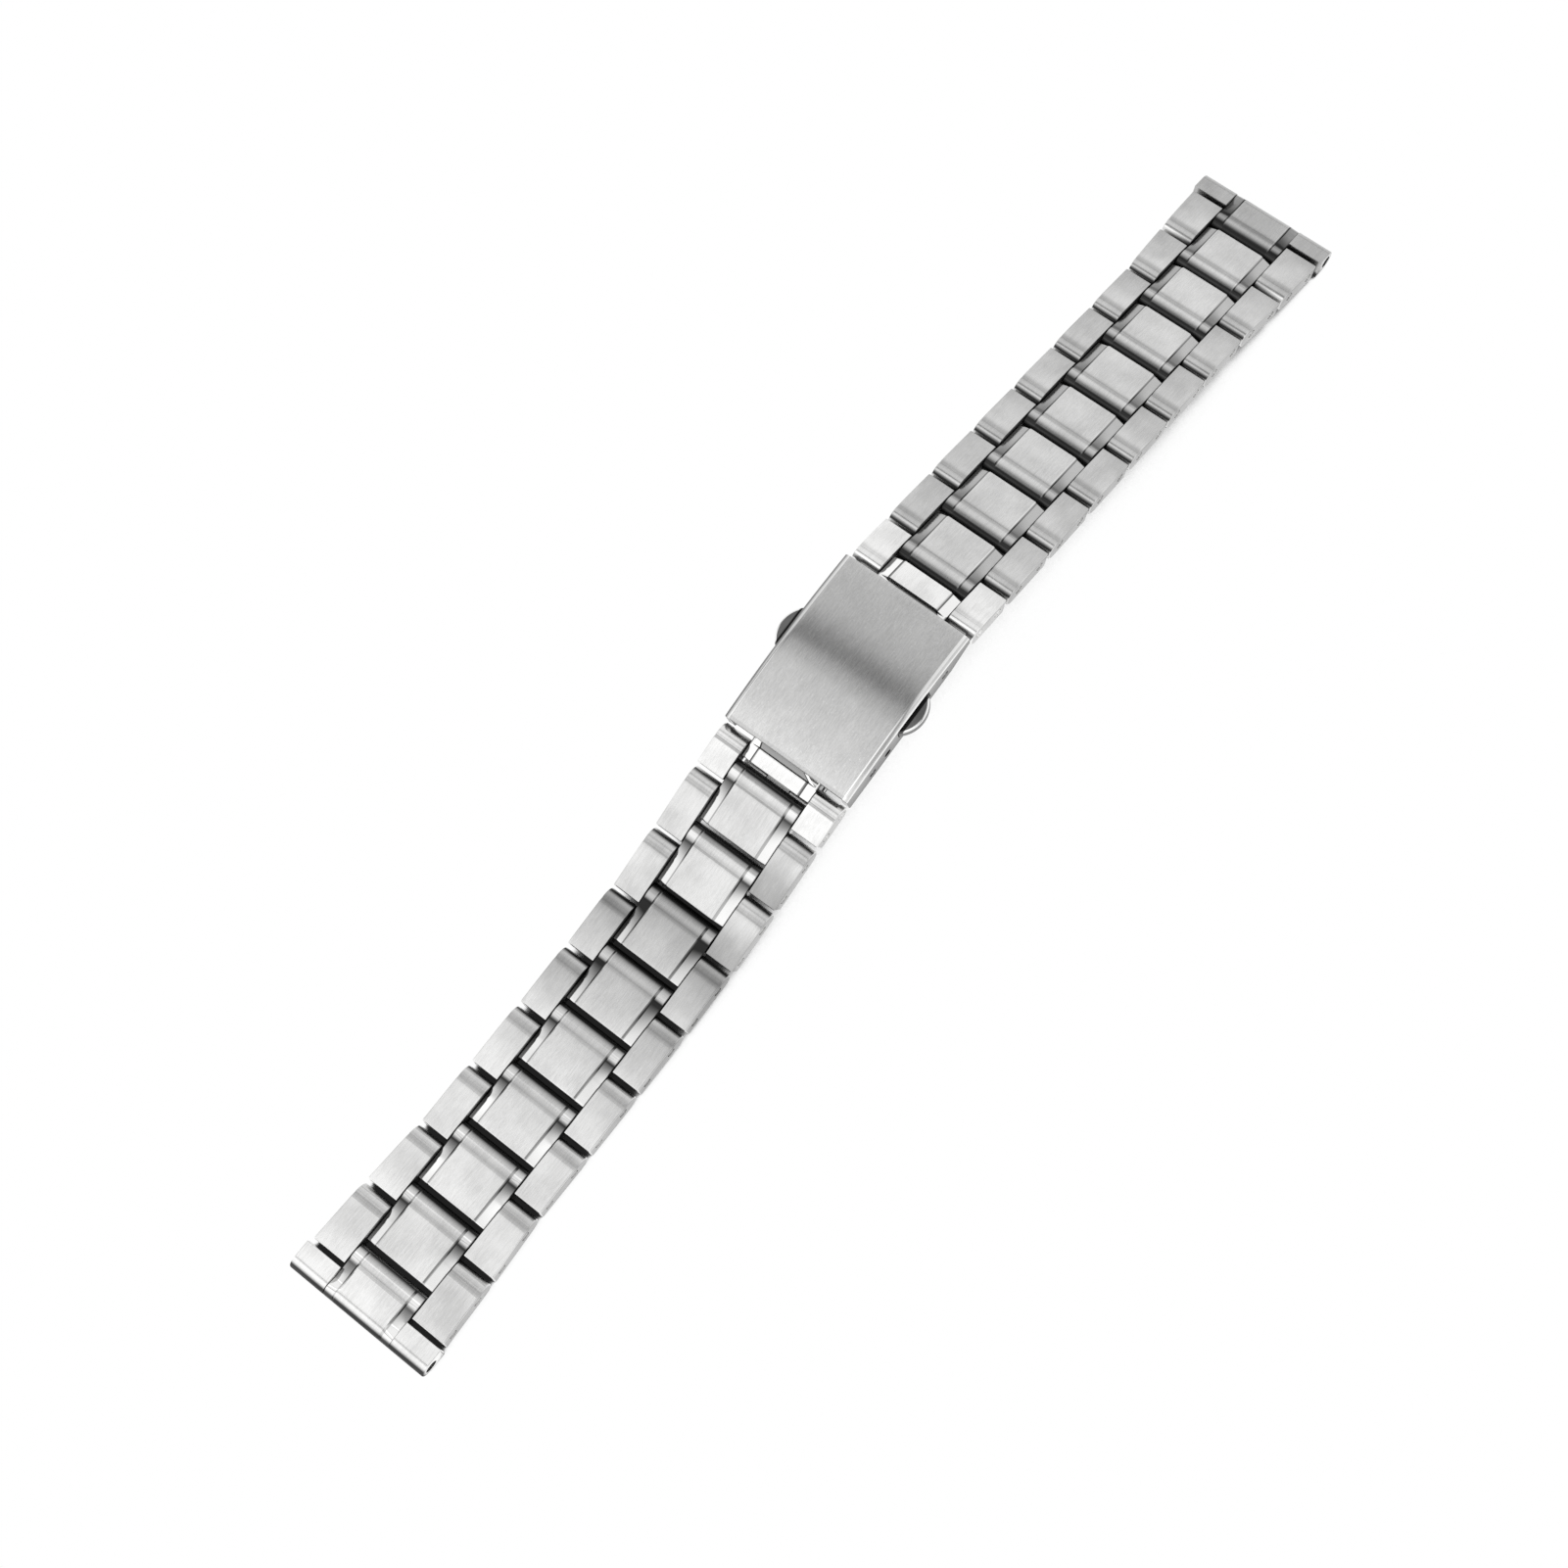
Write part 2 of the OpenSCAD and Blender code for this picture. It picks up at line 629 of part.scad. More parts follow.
module blade_long() {
    eye_x = centre_w / 2 + side_gap;
    eye_w = inner_w / 2 - hinge_side_gap - eye_x;
    clasp_frame() color(polished) difference() {
        union() {
            across(blade_w) bent_plate([long_start, long_bend, head_start, long_end], long_t);
            across(inner_w - 2 * hinge_side_gap) bent_plate([head_start, long_end], long_t);
            mirrored_pair() translate([eye_x, strap_pin_y, -strap_pin_depth]) rotate([0, 90, 0])
                cylinder(h = eye_w, r = barrel_r);
            cross_bar(fold_r, blade_w, fold_y, -fold_depth);
        }
        translate([-knuckle_w / 2 - knuckle_gap, fold_y - spare, -fold_depth - spare])
            cube([knuckle_w + 2 * knuckle_gap, spare + fold_r + knuckle_gap, 2 * spare]);
        cross_bar(barrel_r + barrel_room, 2 * eye_x, strap_pin_y, -strap_pin_depth);
        cross_bar(blade_pin_r + hinge_fit, 2 * lug_w, fold_y, -fold_depth);
        cross_bar(blade_pin_r + held_fit, 2 * lug_w, strap_pin_y, -strap_pin_depth);
        translate([0, crest_y, -post_foot() - long_t - cut])
            cylinder(h = 2 * long_t, r = post_neck_r + held_fit);
    }
}

// Catch post: stands on the long blade, its head above the jaws
module catch_post() {
    blade_top = post_foot();
    head_low = button_depth - jaw_h / 2 - jaw_play;
    head_high = cover_top_t + jaw_play;
    clasp_frame() color(polished) translate([0, crest_y, 0]) {
        translate([0, 0, -blade_top - long_t])
            cylinder(h = blade_top + long_t - head_low + cut, r = post_neck_r);
        translate([0, 0, -head_low]) cylinder(h = head_low - head_high, r = post_head_r);
    }
}

// Depth of the long blade's top where the post stands
function post_foot() =
    let (share = (crest_y - long_start[0]) / (long_bend[0] - long_start[0]))
    -(long_start[1] + share * (long_bend[1] - long_start[1])) - long_t / 2;

module cover_hinge_pin() {
    clasp_frame() color(polished)
        cross_bar(blade_pin_r, cover_w - 2 * pin_inset, cover_hinge_y, -cover_hinge_depth);
}

module fold_hinge_pin() {
    clasp_frame() color(polished) cross_bar(blade_pin_r, blade_w, fold_y, -fold_depth);
}

module strap_pin() {
    clasp_frame() color(polished)
        cross_bar(blade_pin_r, inner_w - 2 * hinge_side_gap, strap_pin_y, -strap_pin_depth);
}

// Spring bar in the first pair of adjustment holes
bar_side_gap = 0.1;
tip_in = 1.2;
tip_shoulder = 0.3;
coil_wire = 0.09;
coil_turns = 12;

module spring_bar_tube() {
    clasp_frame() color(polished) difference() {
        cross_bar(tube_r, inner_w - 2 * bar_side_gap, bar_y, -bar_depth);
        cross_bar(tube_r - tube_wall, inner_w, bar_y, -bar_depth);
    }
}

module spring_bar_tip() {
    translate([inner_w / 2 - tip_in, bar_y, -bar_depth]) rotate([0, 90, 0]) {
        cylinder(h = tip_in + wall_t - pin_inset, r = tip_r);
        cylinder(h = tip_in - tip_shoulder, r = tube_r - tube_wall - held_fit);
    }
}

module spring_bar_tip_left() {
    clasp_frame() color(polished) mirror([1, 0, 0]) spring_bar_tip();
}

module spring_bar_tip_right() {
    clasp_frame() color(polished) spring_bar_tip();
}

module spring_bar_coil() {
    coil_len = inner_w - 2 * (tip_in + held_fit);
    clasp_frame() color(dark_steel) translate([-coil_len / 2, bar_y, -bar_depth])
        coil(coil_len, tube_r - tube_wall - coil_wire - 2 * held_fit, coil_wire, coil_turns);
}

module side_links_at(half, k) {
    start = half == "12" ? first_start_12 : first_start_6;
    len = half == "12" ? first_len_12 : first_len_6;
    grow = k == 1 ? [flare_share, 1] : k == 2 ? [0, flare_share] : [0, 0];
    row_frame(half, k) side_links(k == rows ? start : side_start, k == rows ? len : side_len, flare * grow);
}

for (half = ["12", "6"]) for (k = [1:rows])
    side_links_at(half, k);
for (half = ["12", "6"]) for (k = [1:rows - 1])
    row_frame(half, k) centre_link();
clasp_end_link_12();
clasp_end_link_6();
row_frame_12(0) end_piece();  // end_piece_12
row_frame_6(0) end_piece();  // end_piece_6
clasp_cover();
latch_housing();
housing_screws();
push_button_left();
push_button_right();
button_spring_left();
button_spring_right();
blade_short();
blade_long();
catch_post();
cover_hinge_pin();
fold_hinge_pin();
strap_pin();
spring_bar_tube();
spring_bar_tip_left();
spring_bar_tip_right();
spring_bar_coil();
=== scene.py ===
"""Looks of a steel watch bracelet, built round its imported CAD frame."""
import json
import logging
import math
from dataclasses import dataclass
from enum import Enum, IntEnum
from typing import Callable, Sequence

import bmesh
import bpy
from mathutils import Euler, Matrix, Vector

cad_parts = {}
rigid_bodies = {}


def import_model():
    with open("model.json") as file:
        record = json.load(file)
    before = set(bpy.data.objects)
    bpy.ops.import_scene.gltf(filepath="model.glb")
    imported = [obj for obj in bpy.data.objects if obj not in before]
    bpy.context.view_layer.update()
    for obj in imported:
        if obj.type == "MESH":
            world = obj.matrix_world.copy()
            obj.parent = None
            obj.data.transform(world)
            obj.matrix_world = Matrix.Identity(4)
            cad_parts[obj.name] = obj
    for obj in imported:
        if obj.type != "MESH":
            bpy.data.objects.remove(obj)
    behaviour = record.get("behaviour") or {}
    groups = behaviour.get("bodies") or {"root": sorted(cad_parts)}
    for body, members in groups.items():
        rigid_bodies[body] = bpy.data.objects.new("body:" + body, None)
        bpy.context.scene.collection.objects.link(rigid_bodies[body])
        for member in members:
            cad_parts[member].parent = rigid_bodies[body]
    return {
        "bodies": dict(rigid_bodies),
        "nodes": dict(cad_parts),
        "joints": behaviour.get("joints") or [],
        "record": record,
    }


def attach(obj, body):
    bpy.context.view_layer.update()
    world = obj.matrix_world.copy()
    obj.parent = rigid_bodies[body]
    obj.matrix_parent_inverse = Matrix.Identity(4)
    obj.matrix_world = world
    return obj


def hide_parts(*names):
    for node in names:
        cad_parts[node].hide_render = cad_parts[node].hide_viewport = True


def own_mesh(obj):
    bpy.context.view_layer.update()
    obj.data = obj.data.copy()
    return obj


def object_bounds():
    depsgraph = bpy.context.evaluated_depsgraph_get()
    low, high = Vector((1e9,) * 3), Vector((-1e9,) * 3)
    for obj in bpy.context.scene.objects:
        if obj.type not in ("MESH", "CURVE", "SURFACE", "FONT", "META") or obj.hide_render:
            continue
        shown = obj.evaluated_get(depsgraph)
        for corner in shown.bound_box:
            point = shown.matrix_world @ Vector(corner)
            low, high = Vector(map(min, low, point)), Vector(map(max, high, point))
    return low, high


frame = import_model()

LOG = logging.getLogger("bracelet")
# Metres in a millimetre
MM = 0.001
# Name of the point attribute that holds painted shade (above 0) and painted brightness (below 0) on the steel
TONE = "tone"
# Half the length of a drill that goes right through the strap or the clasp, in millimetres
THROUGH = 12.0
# The highest base colour that steel may have
BRIGHTEST_STEEL = 0.97
CAD_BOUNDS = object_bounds()

Point = tuple[float, float]
Ring = list[Vector]


class Half(Enum):
    """The two halves of the strap."""

    TWELVE = "12"
    SIX = "6"

    @property
    def index(self) -> int:
        """Its place in a pair of values."""
        return 0 if self is Half.TWELVE else 1

    @property
    def heading(self) -> int:
        """The way from the clasp to its end piece, along Y."""
        return 1 if self is Half.TWELVE else -1


class Slot(Enum):
    """The record's material slots of the pieces that are made anew."""

    LINKS = "brushed_links"
    COVER = "brushed_cover"
    BUTTONS = "polished_buttons"
    SPRINGS = "spring_wire"


class PositionSource(Enum):
    """Where a finish reads the place of its streaks."""

    PIECE = "grain_mm"
    CAD = "object"


class CoverFace(IntEnum):
    """The kinds of face on the clasp cover, in the order of its finishes."""

    TOP = 0
    LINE = 1
    WALL = 2
    INSIDE = 3
    SHOULDER = 4


# Placing


@dataclass(frozen=True)
class Place:
    """A part's own frame: its origin in the Y-Z plane, in metres, its slope and its heading."""

    y: float
    z: float
    slope: float
    heading: int

    def matrix(self) -> Matrix:
        """The matrix from millimetres in the part's frame to metres in the world.

        Returns:
            The matrix.
        """
        c, s, h = math.cos(self.slope), math.sin(self.slope), self.heading
        columns = ((h, 0, 0), (0, h * c, -s), (0, h * s, c))
        turn = Matrix([[columns[j][i] * MM for j in range(3)] for i in range(3)]).to_4x4()
        turn.translation = Vector((0, self.y, self.z))
        return turn


@dataclass(frozen=True)
class ClaspLandmarks:
    """Two hinges of the clasp in its own frame, crest at z = 0, in millimetres."""

    cover_hinge: Point = (6.3, -2.4)
    fold_hinge: Point = (-13.0, -6.7)


class FrameReader:
    """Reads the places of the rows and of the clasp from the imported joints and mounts."""

    def __init__(self, packed: dict) -> None:
        """Keeps the joints and mounts by name.
        """
        self.joints = {j["name"]: j for j in packed["joints"]}
        self.mounts = {m["name"]: m for m in packed["record"]["mounts"]}

    def hinge(self, name: str) -> Point:
        """The place of a joint in the Y-Z plane, in metres."""
        return tuple(self.joints[name]["pos_m"][1:])

    def row(self, half: Half, k: int) -> Place:
        """The frame of row k, counted from the end piece.

        Args:
            half: the strap's half.
            k: 9 beside the clasp, 0 for the end piece.

        Returns:
            The row's frame, with +Y outwards from its clasp-side hinge.
        """
        hinges = [f"end_hinge_{half.value}"] + [f"strap_hinge_{half.value}_{n}" for n in range(1, k + 1)]
        y, z = self.hinge(hinges[k])
        if k:
            far_y, far_z = self.hinge(hinges[k - 1])
        else:
            far_y, far_z = self.mounts[f"lug_bore_{half.value}"]["pos_m"][1:]
        return Place(y, z, math.atan2(z - far_z, abs(far_y - y)), half.heading)

    def clasp(self, marks: ClaspLandmarks) -> Place:
        """The clasp's frame, from its two hinges.

        Args:
            marks: the hinges in the clasp's own frame.

        Returns:
            The frame, whose slope is minus the clasp's tilt.
        """
        (y, z), (fold_y, fold_z) = marks.cover_hinge, marks.fold_hinge
        a, b = self.hinge("clasp_opening"), self.hinge("blade_unfolding")
        tilt = math.atan2(a[1] - b[1], a[0] - b[0]) - math.atan2(z - fold_z, y - fold_y)
        c, s = math.cos(tilt), math.sin(tilt)
        return Place(a[0] - (y * c - z * s) * MM, a[1] - (y * s + z * c) * MM, -tilt, 1)


# Outlines, in millimetres


def smooth(t: float) -> float:
    """A soft step from 0 to 1.

    Args:
        t: how far it has gone, clamped to 0 to 1.

    Returns:
        Its height.
    """
    t = min(1.0, max(0.0, t))
    return t * t * (3 - 2 * t)


def ramp(value: float, grows: Point) -> float:
    """A soft step over a stretch that is given as its start and its length."""
    return smooth((value - grows[0]) / grows[1])


def arc(centre: Point, rx: float, rz: float, start: float, end: float, steps: int) -> list[Point]:
    """Points on an ellipse's arc.

    Args:
        centre: the ellipse's middle.
        rx, rz: its half axes.
        start, end: angles in degrees.
        steps: how many parts the arc has.

    Returns:
        steps + 1 points.
    """
    angles = [math.radians(start + (end - start) * i / steps) for i in range(steps + 1)]
    return [(centre[0] + rx * math.cos(a), centre[1] + rz * math.sin(a)) for a in angles]


def without_doubles(points: Sequence[Point], least: float = 1e-4) -> list[Point]:
    """A closed outline without the points that lie on their neighbours.

    Args:
        points: the outline.
        least: the distance below which two points count as one.

    Returns:
        The points that are left.
    """
    kept: list[Point] = []
    for p in points:
        if not kept or math.dist(p, kept[-1]) > least:
            kept.append(p)
    if math.dist(kept[0], kept[-1]) <= least:
        kept.pop()
    return kept


def inset(outline: Sequence[Point], depth: float, sharpest: float = 0.3) -> list[Point]:
    """A closed anticlockwise outline moved inwards.

    Args:
        outline: its points.
        depth: how far each side moves.
        sharpest: holds the mitre back at corners sharper than this.

    Returns:
        As many points, mitred at the corners.
    """
    if depth == 0:
        return list(outline)
    n = len(outline)
    moved = []
    for i, p in enumerate(outline):
        a, b = Vector(outline[i - 1]), Vector(outline[(i + 1) % n])
        here = Vector(p)
        u, v = (here - a).normalized(), (b - here).normalized()
        m = Vector((-u.y, u.x)) + Vector((-v.y, v.x))
        q = here + m * depth / max(m.length_squared / 2, sharpest)
        moved.append((q.x, q.y))
    return moved


def rounding(radius: float, steps: int = 3) -> list[Point]:
    """Pairs of (distance from the face, inset) along a rounded edge, from the face inwards."""
    turns = [math.radians(90 * i / steps) for i in range(steps + 1)]
    return [(radius * (1 - math.cos(a)), radius * (1 - math.sin(a))) for a in turns]


def rounded_span(half: float, low_edge: list[Point], high_edge: list[Point],
                 inner: Sequence[float] = ()) -> list[Point]:
    """Levels through a block with rounded edges, each with its inset.

    Args:
        half: half the distance between the block's two faces.
        low_edge, high_edge: the rounding at each face, as rounding() gives it.
        inner: further levels between them.

    Returns:
        Pairs of (level, inset), from the low face to the high one.
    """
    levels = [(-half + d, i) for d, i in low_edge] + [(level, 0.0) for level in inner]
    return levels + [(half - d, i) for d, i in reversed(high_edge)]


@dataclass(frozen=True)
class LinkSizes:
    """Sizes of the links, shared by every row, in millimetres."""

    strap_w: float = 16.0
    lug_w: float = 18.0
    half_t: float = 1.3
    pitch: float = 8.0
    gap: float = 0.45
    side_gap: float = 0.1
    centre_w: float = 8.9
    pad_w: float = 6.1
    pad_step: float = 0.16
    step_w: float = 0.16
    strip_fall: float = 0.42
    reach: float = 1.4
    wing_len: float = 3.2
    pin_r: float = 0.5
    pin_inset: float = 0.1
    flare: float = 0.75
    flare_share: float = 0.6
    bore_r: float = 0.75
    rows: int = 9

    @property
    def side_start(self) -> float:
        """Distance from a hinge to the side links that follow it."""
        return self.reach + self.gap

    @property
    def link_len(self) -> float:
        """Length of a common link."""
        return self.pitch - self.gap

    @property
    def end_far(self) -> float:
        """Distance from an end piece's hinge to its outer end."""
        return self.side_start + self.wing_len


@dataclass(frozen=True)
class LinkTop:
    """The lengthwise form of a link's top: a rolled end, a soft valley and a long falling crown.

    Attributes:
        roll, roll_drop: radius of the rolled clasp-side end, and how low its crest lies.
        valley, dip: how far out the valley reaches, and how deep it is.
        shoulder: length of the rise behind the valley.
        crown_drop, crown_fall: how low the crown begins, and how far it falls towards the outer end.
        corner: rounding of the outer end.
    """

    roll: float = 1.25
    valley: float = 2.05
    dip: float = 0.07
    shoulder: float = 0.3
    crown_drop: float = 0.01
    crown_fall: float = 0.16
    corner: float = 0.2
    roll_drop: float = 0.05

    def height(self, u: float, length: float, half_t: float) -> float:
        """Height of the top at a distance u from the clasp-side end.

        Args:
            u: the distance, in millimetres.
            length: the link's length.
            half_t: half of its thickness.

        Returns:
            The height over the link's middle plane.
        """
        crest, crown = half_t - self.roll_drop, half_t - self.crown_drop
        if u <= self.valley:
            share = max(0.0, (u - self.roll) / (self.valley - self.roll))
            return crest - self.dip * share**2
        rise = (u - self.valley) / self.shoulder
        if rise <= 1:
            low = crest - self.dip
            return low + (crown - low) * rise**2 * (3 - 2 * rise)
        start = self.valley + self.shoulder
        share = (u - start) / (length - start)
        return crown - self.crown_fall * share**1.5

    def outline(self, start: float, length: float, half_t: float, steps: int = 52) -> list[Point]:
        """The link seen from the side, anticlockwise from its lower clasp-side end.

        Args:
            start: distance of the clasp-side end from the row's hinge.
            length: the link's length.
            half_t: half of its thickness.
            steps: how many parts its top has between the rounded ends.

        Returns:
            The outline's points.
        """
        far, c, r = start + length, self.corner, self.roll
        low = arc((start + r, 0), r, half_t, 180, 270, steps=9)
        low += [(start + r + (far - c - start - r) * i / 4, -half_t) for i in range(1, 4)]
        low += arc((far - c, c - half_t), c, c, 270, 360, steps=6)
        high = arc((far - c, self.height(length - c, length, half_t) - c), c, c, 0, 90, steps=6)
        marks = [length - c - (length - c - r) * i / steps for i in range(steps + 1)]
        high += [(start + u, self.height(u, length, half_t)) for u in marks]
        high += arc((start + r, 0), r, self.height(r, length, half_t), 90, 180, steps=12)
        return without_doubles(low + high)


@dataclass(frozen=True)
class StripForm:
    """How far a centre link's top lies below its pad: a step, a falling strip and its run-out.

    Attributes:
        sizes: the links' sizes.
        begins, runout: where the strip begins to sink along the link, and over what length.
        fades, fade_len, fade_share: where it rises again, over what length and by what share.
        soft, lip: width of the pad's soft edge, and how far it sinks as a share of that width.
    """

    sizes: LinkSizes
    begins: float = 0.3
    runout: float = 3.0
    fades: float = 99.0
    fade_len: float = 1.3
    fade_share: float = 0.75
    soft: float = 0.05
    lip: float = 0.4

    def __call__(self, x: float, u: float) -> float:
        """How far the top lies below the pad.

        Args:
            x: the place across.
            u: the place along.

        Returns:
            The depth.
        """
        s, a, lip = self.sizes, abs(x), self.lip * self.soft
        pad, foot = s.pad_w / 2, s.pad_w / 2 + s.step_w
        if a <= pad:
            across = lip * max(0.0, 1 - (pad - a) / self.soft)
        elif a <= foot:
            across = lip + (s.pad_step - lip) * (a - pad) / (foot - pad)
        else:
            across = s.pad_step + s.strip_fall * (a - foot) / (s.centre_w / 2 - foot)
        left = 1 - min(1.0, max(0.0, (u - self.begins) / self.runout))
        fading = 1 - self.fade_share * smooth((u - self.fades) / self.fade_len)
        return across * (1 - left * left) * fading


@dataclass(frozen=True)
class Tone:
    """How a link's steel gets painted shade in its gaps, valley and creases, and painted brightness along it.

    A tone of 1 is black painted shade, 0 the finish itself, and below 0 painted brightness. Lengths are in
    millimetres. A ramp is the place where a shade begins and the length over which it grows.

    Attributes:
        top, start, length, half_t: the link's lengthwise form, its clasp-side end, its length and half
            its thickness.
        drop: how far its top lies lower at a place across and along.
        wall_x, pin_x: how far out its walls face a gap, and how far out the ends of its pins begin.
        open_end: the length at its outer end whose walls face no gap.
        worn, gain, lean: the painted brightness all over and towards its outer end, and the painted shade on
            its left half there.
        gap, rim: the painted shade on the walls in the gaps and along the outer end.
        valley, valley_len, roll_shade: painted shade in the valley and half its length, and on the rolled
            end.
        wedge, wedge_len, wedge_near, wedge_taper: the painted dark reflection on the strips, its length
            outwards and towards the clasp, and how it shortens across.
        strip, strip_x, strip_end: the strips' own painted shade, painted brightness where below 0, and where
            they begin and end across.
        steps, foot: painted lines on the left and the right step, shade above 0 and highlight below, and the
            painted shade of the lines beside them.
        seam, seam_tone: where one more painted dark line lies across, and its shade.
        top_depth, wall_floor, pin_half: how deep the shades of the top reach, the lowest level of the
            gaps' shade, and half the height that it leaves free at the pins.
    """

    top: LinkTop
    start: float
    length: float
    half_t: float = 1.3
    drop: Callable[[float, float], float] = lambda x, u: 0.0
    wall_x: float = 99.0
    pin_x: float = 99.0
    open_end: float = 0.0
    painted_brightness: float = 0.0
    gain: float = 0.0
    lean: float = 0.0
    gap: float = 0.93
    rim: float = 0.0
    valley: float = 0.26
    valley_len: float = 0.34
    roll_shade: float = 0.0
    wedge: float = 0.0
    wedge_start: float = 0.3
    wedge_len: float = 1.9
    wedge_near: float = 0.3
    wedge_taper: float = 0.28
    strip: float = 0.0
    strip_x: float = 3.08
    strip_end: float = 4.5
    steps: Point = (0.0, 0.0)
    step_line: Point = (-0.04, 0.1)
    foot: float = 0.0
    foot_line: Point = (0.1, 0.25)
    seam: Point = (99.0, 99.0)
    seam_tone: float = 0.6
    top_depth: float = 0.4
    wall_floor: float = -1.2
    pin_half: float = 0.6
    gap_ramp: Point = (0.11, 0.42)
    roll_ramp: Point = (0.35, 0.95)
    rim_ramp: Point = (-0.6, 0.25)
    darkest: float = 0.96

    def __call__(self, spot: Vector) -> float:
        """The tone at a point of the link.

        Args:
            spot: the point in the link's own frame.

        Returns:
            The tone.
        """
        x, u, v = spot
        along = u - self.start
        lower = self.drop(x, u)
        level = (v + lower / 2) / (1 - lower / (2 * self.half_t))
        depth = self.top.height(min(along, self.length), self.length, self.half_t) - level
        # Painted brightness over the whole link, then painted shade in the gaps, in the valley and on the
        # rolled end
        tone = -self.painted_brightness
        pin = abs(x) > self.pin_x and abs(v) < self.pin_half
        in_gap = abs(x) < self.wall_x and level > self.wall_floor and along < self.length - self.open_end
        if in_gap and not pin:
            tone += self.gap * ramp(depth, self.gap_ramp)
        if depth < self.top_depth:
            past = along - self.top.valley
            share = past / (self.length - self.top.valley)
            tone += self.valley * math.exp(-((past / self.valley_len) ** 2))
            tone += self.roll_shade * (1 - ramp(along, self.roll_ramp))
            tone -= self.gain * min(1.0, max(0.0, share))
            tone += self.lean * smooth(share) if x < 0 else 0.0
            tone += self.lines(x, past)
        # Painted shade along the outer end, held at the darkest
        return min(self.darkest, tone + self.rim * ramp(along - self.length, self.rim_ramp))

    def lines(self, x: float, past: float) -> float:
        """The painted shade and highlight on the strips, their painted dark wedges and the lines beside them.

        Args:
            x: the place across.
            past: the distance from the valley, outwards.

        Returns:
            What they add to the tone.
        """
        out, tone = abs(x) - self.strip_x, 0.0
        if out > 0 and abs(x) < self.strip_end:
            beyond = past - self.wedge_start
            spread = self.wedge_len * (1 - self.wedge_taper * out) if beyond > 0 else self.wedge_near
            tone += self.strip + self.wedge * math.exp(-((beyond / spread) ** 2))
        if self.step_line[0] < out < self.step_line[1]:
            tone += self.steps[0] if x < 0 else self.steps[1]
        elif self.foot_line[0] < out < self.foot_line[1]:
            tone += self.foot
        if self.seam[0] < abs(x) < self.seam[1]:
            tone += self.seam_tone
        return tone


# Mesh making


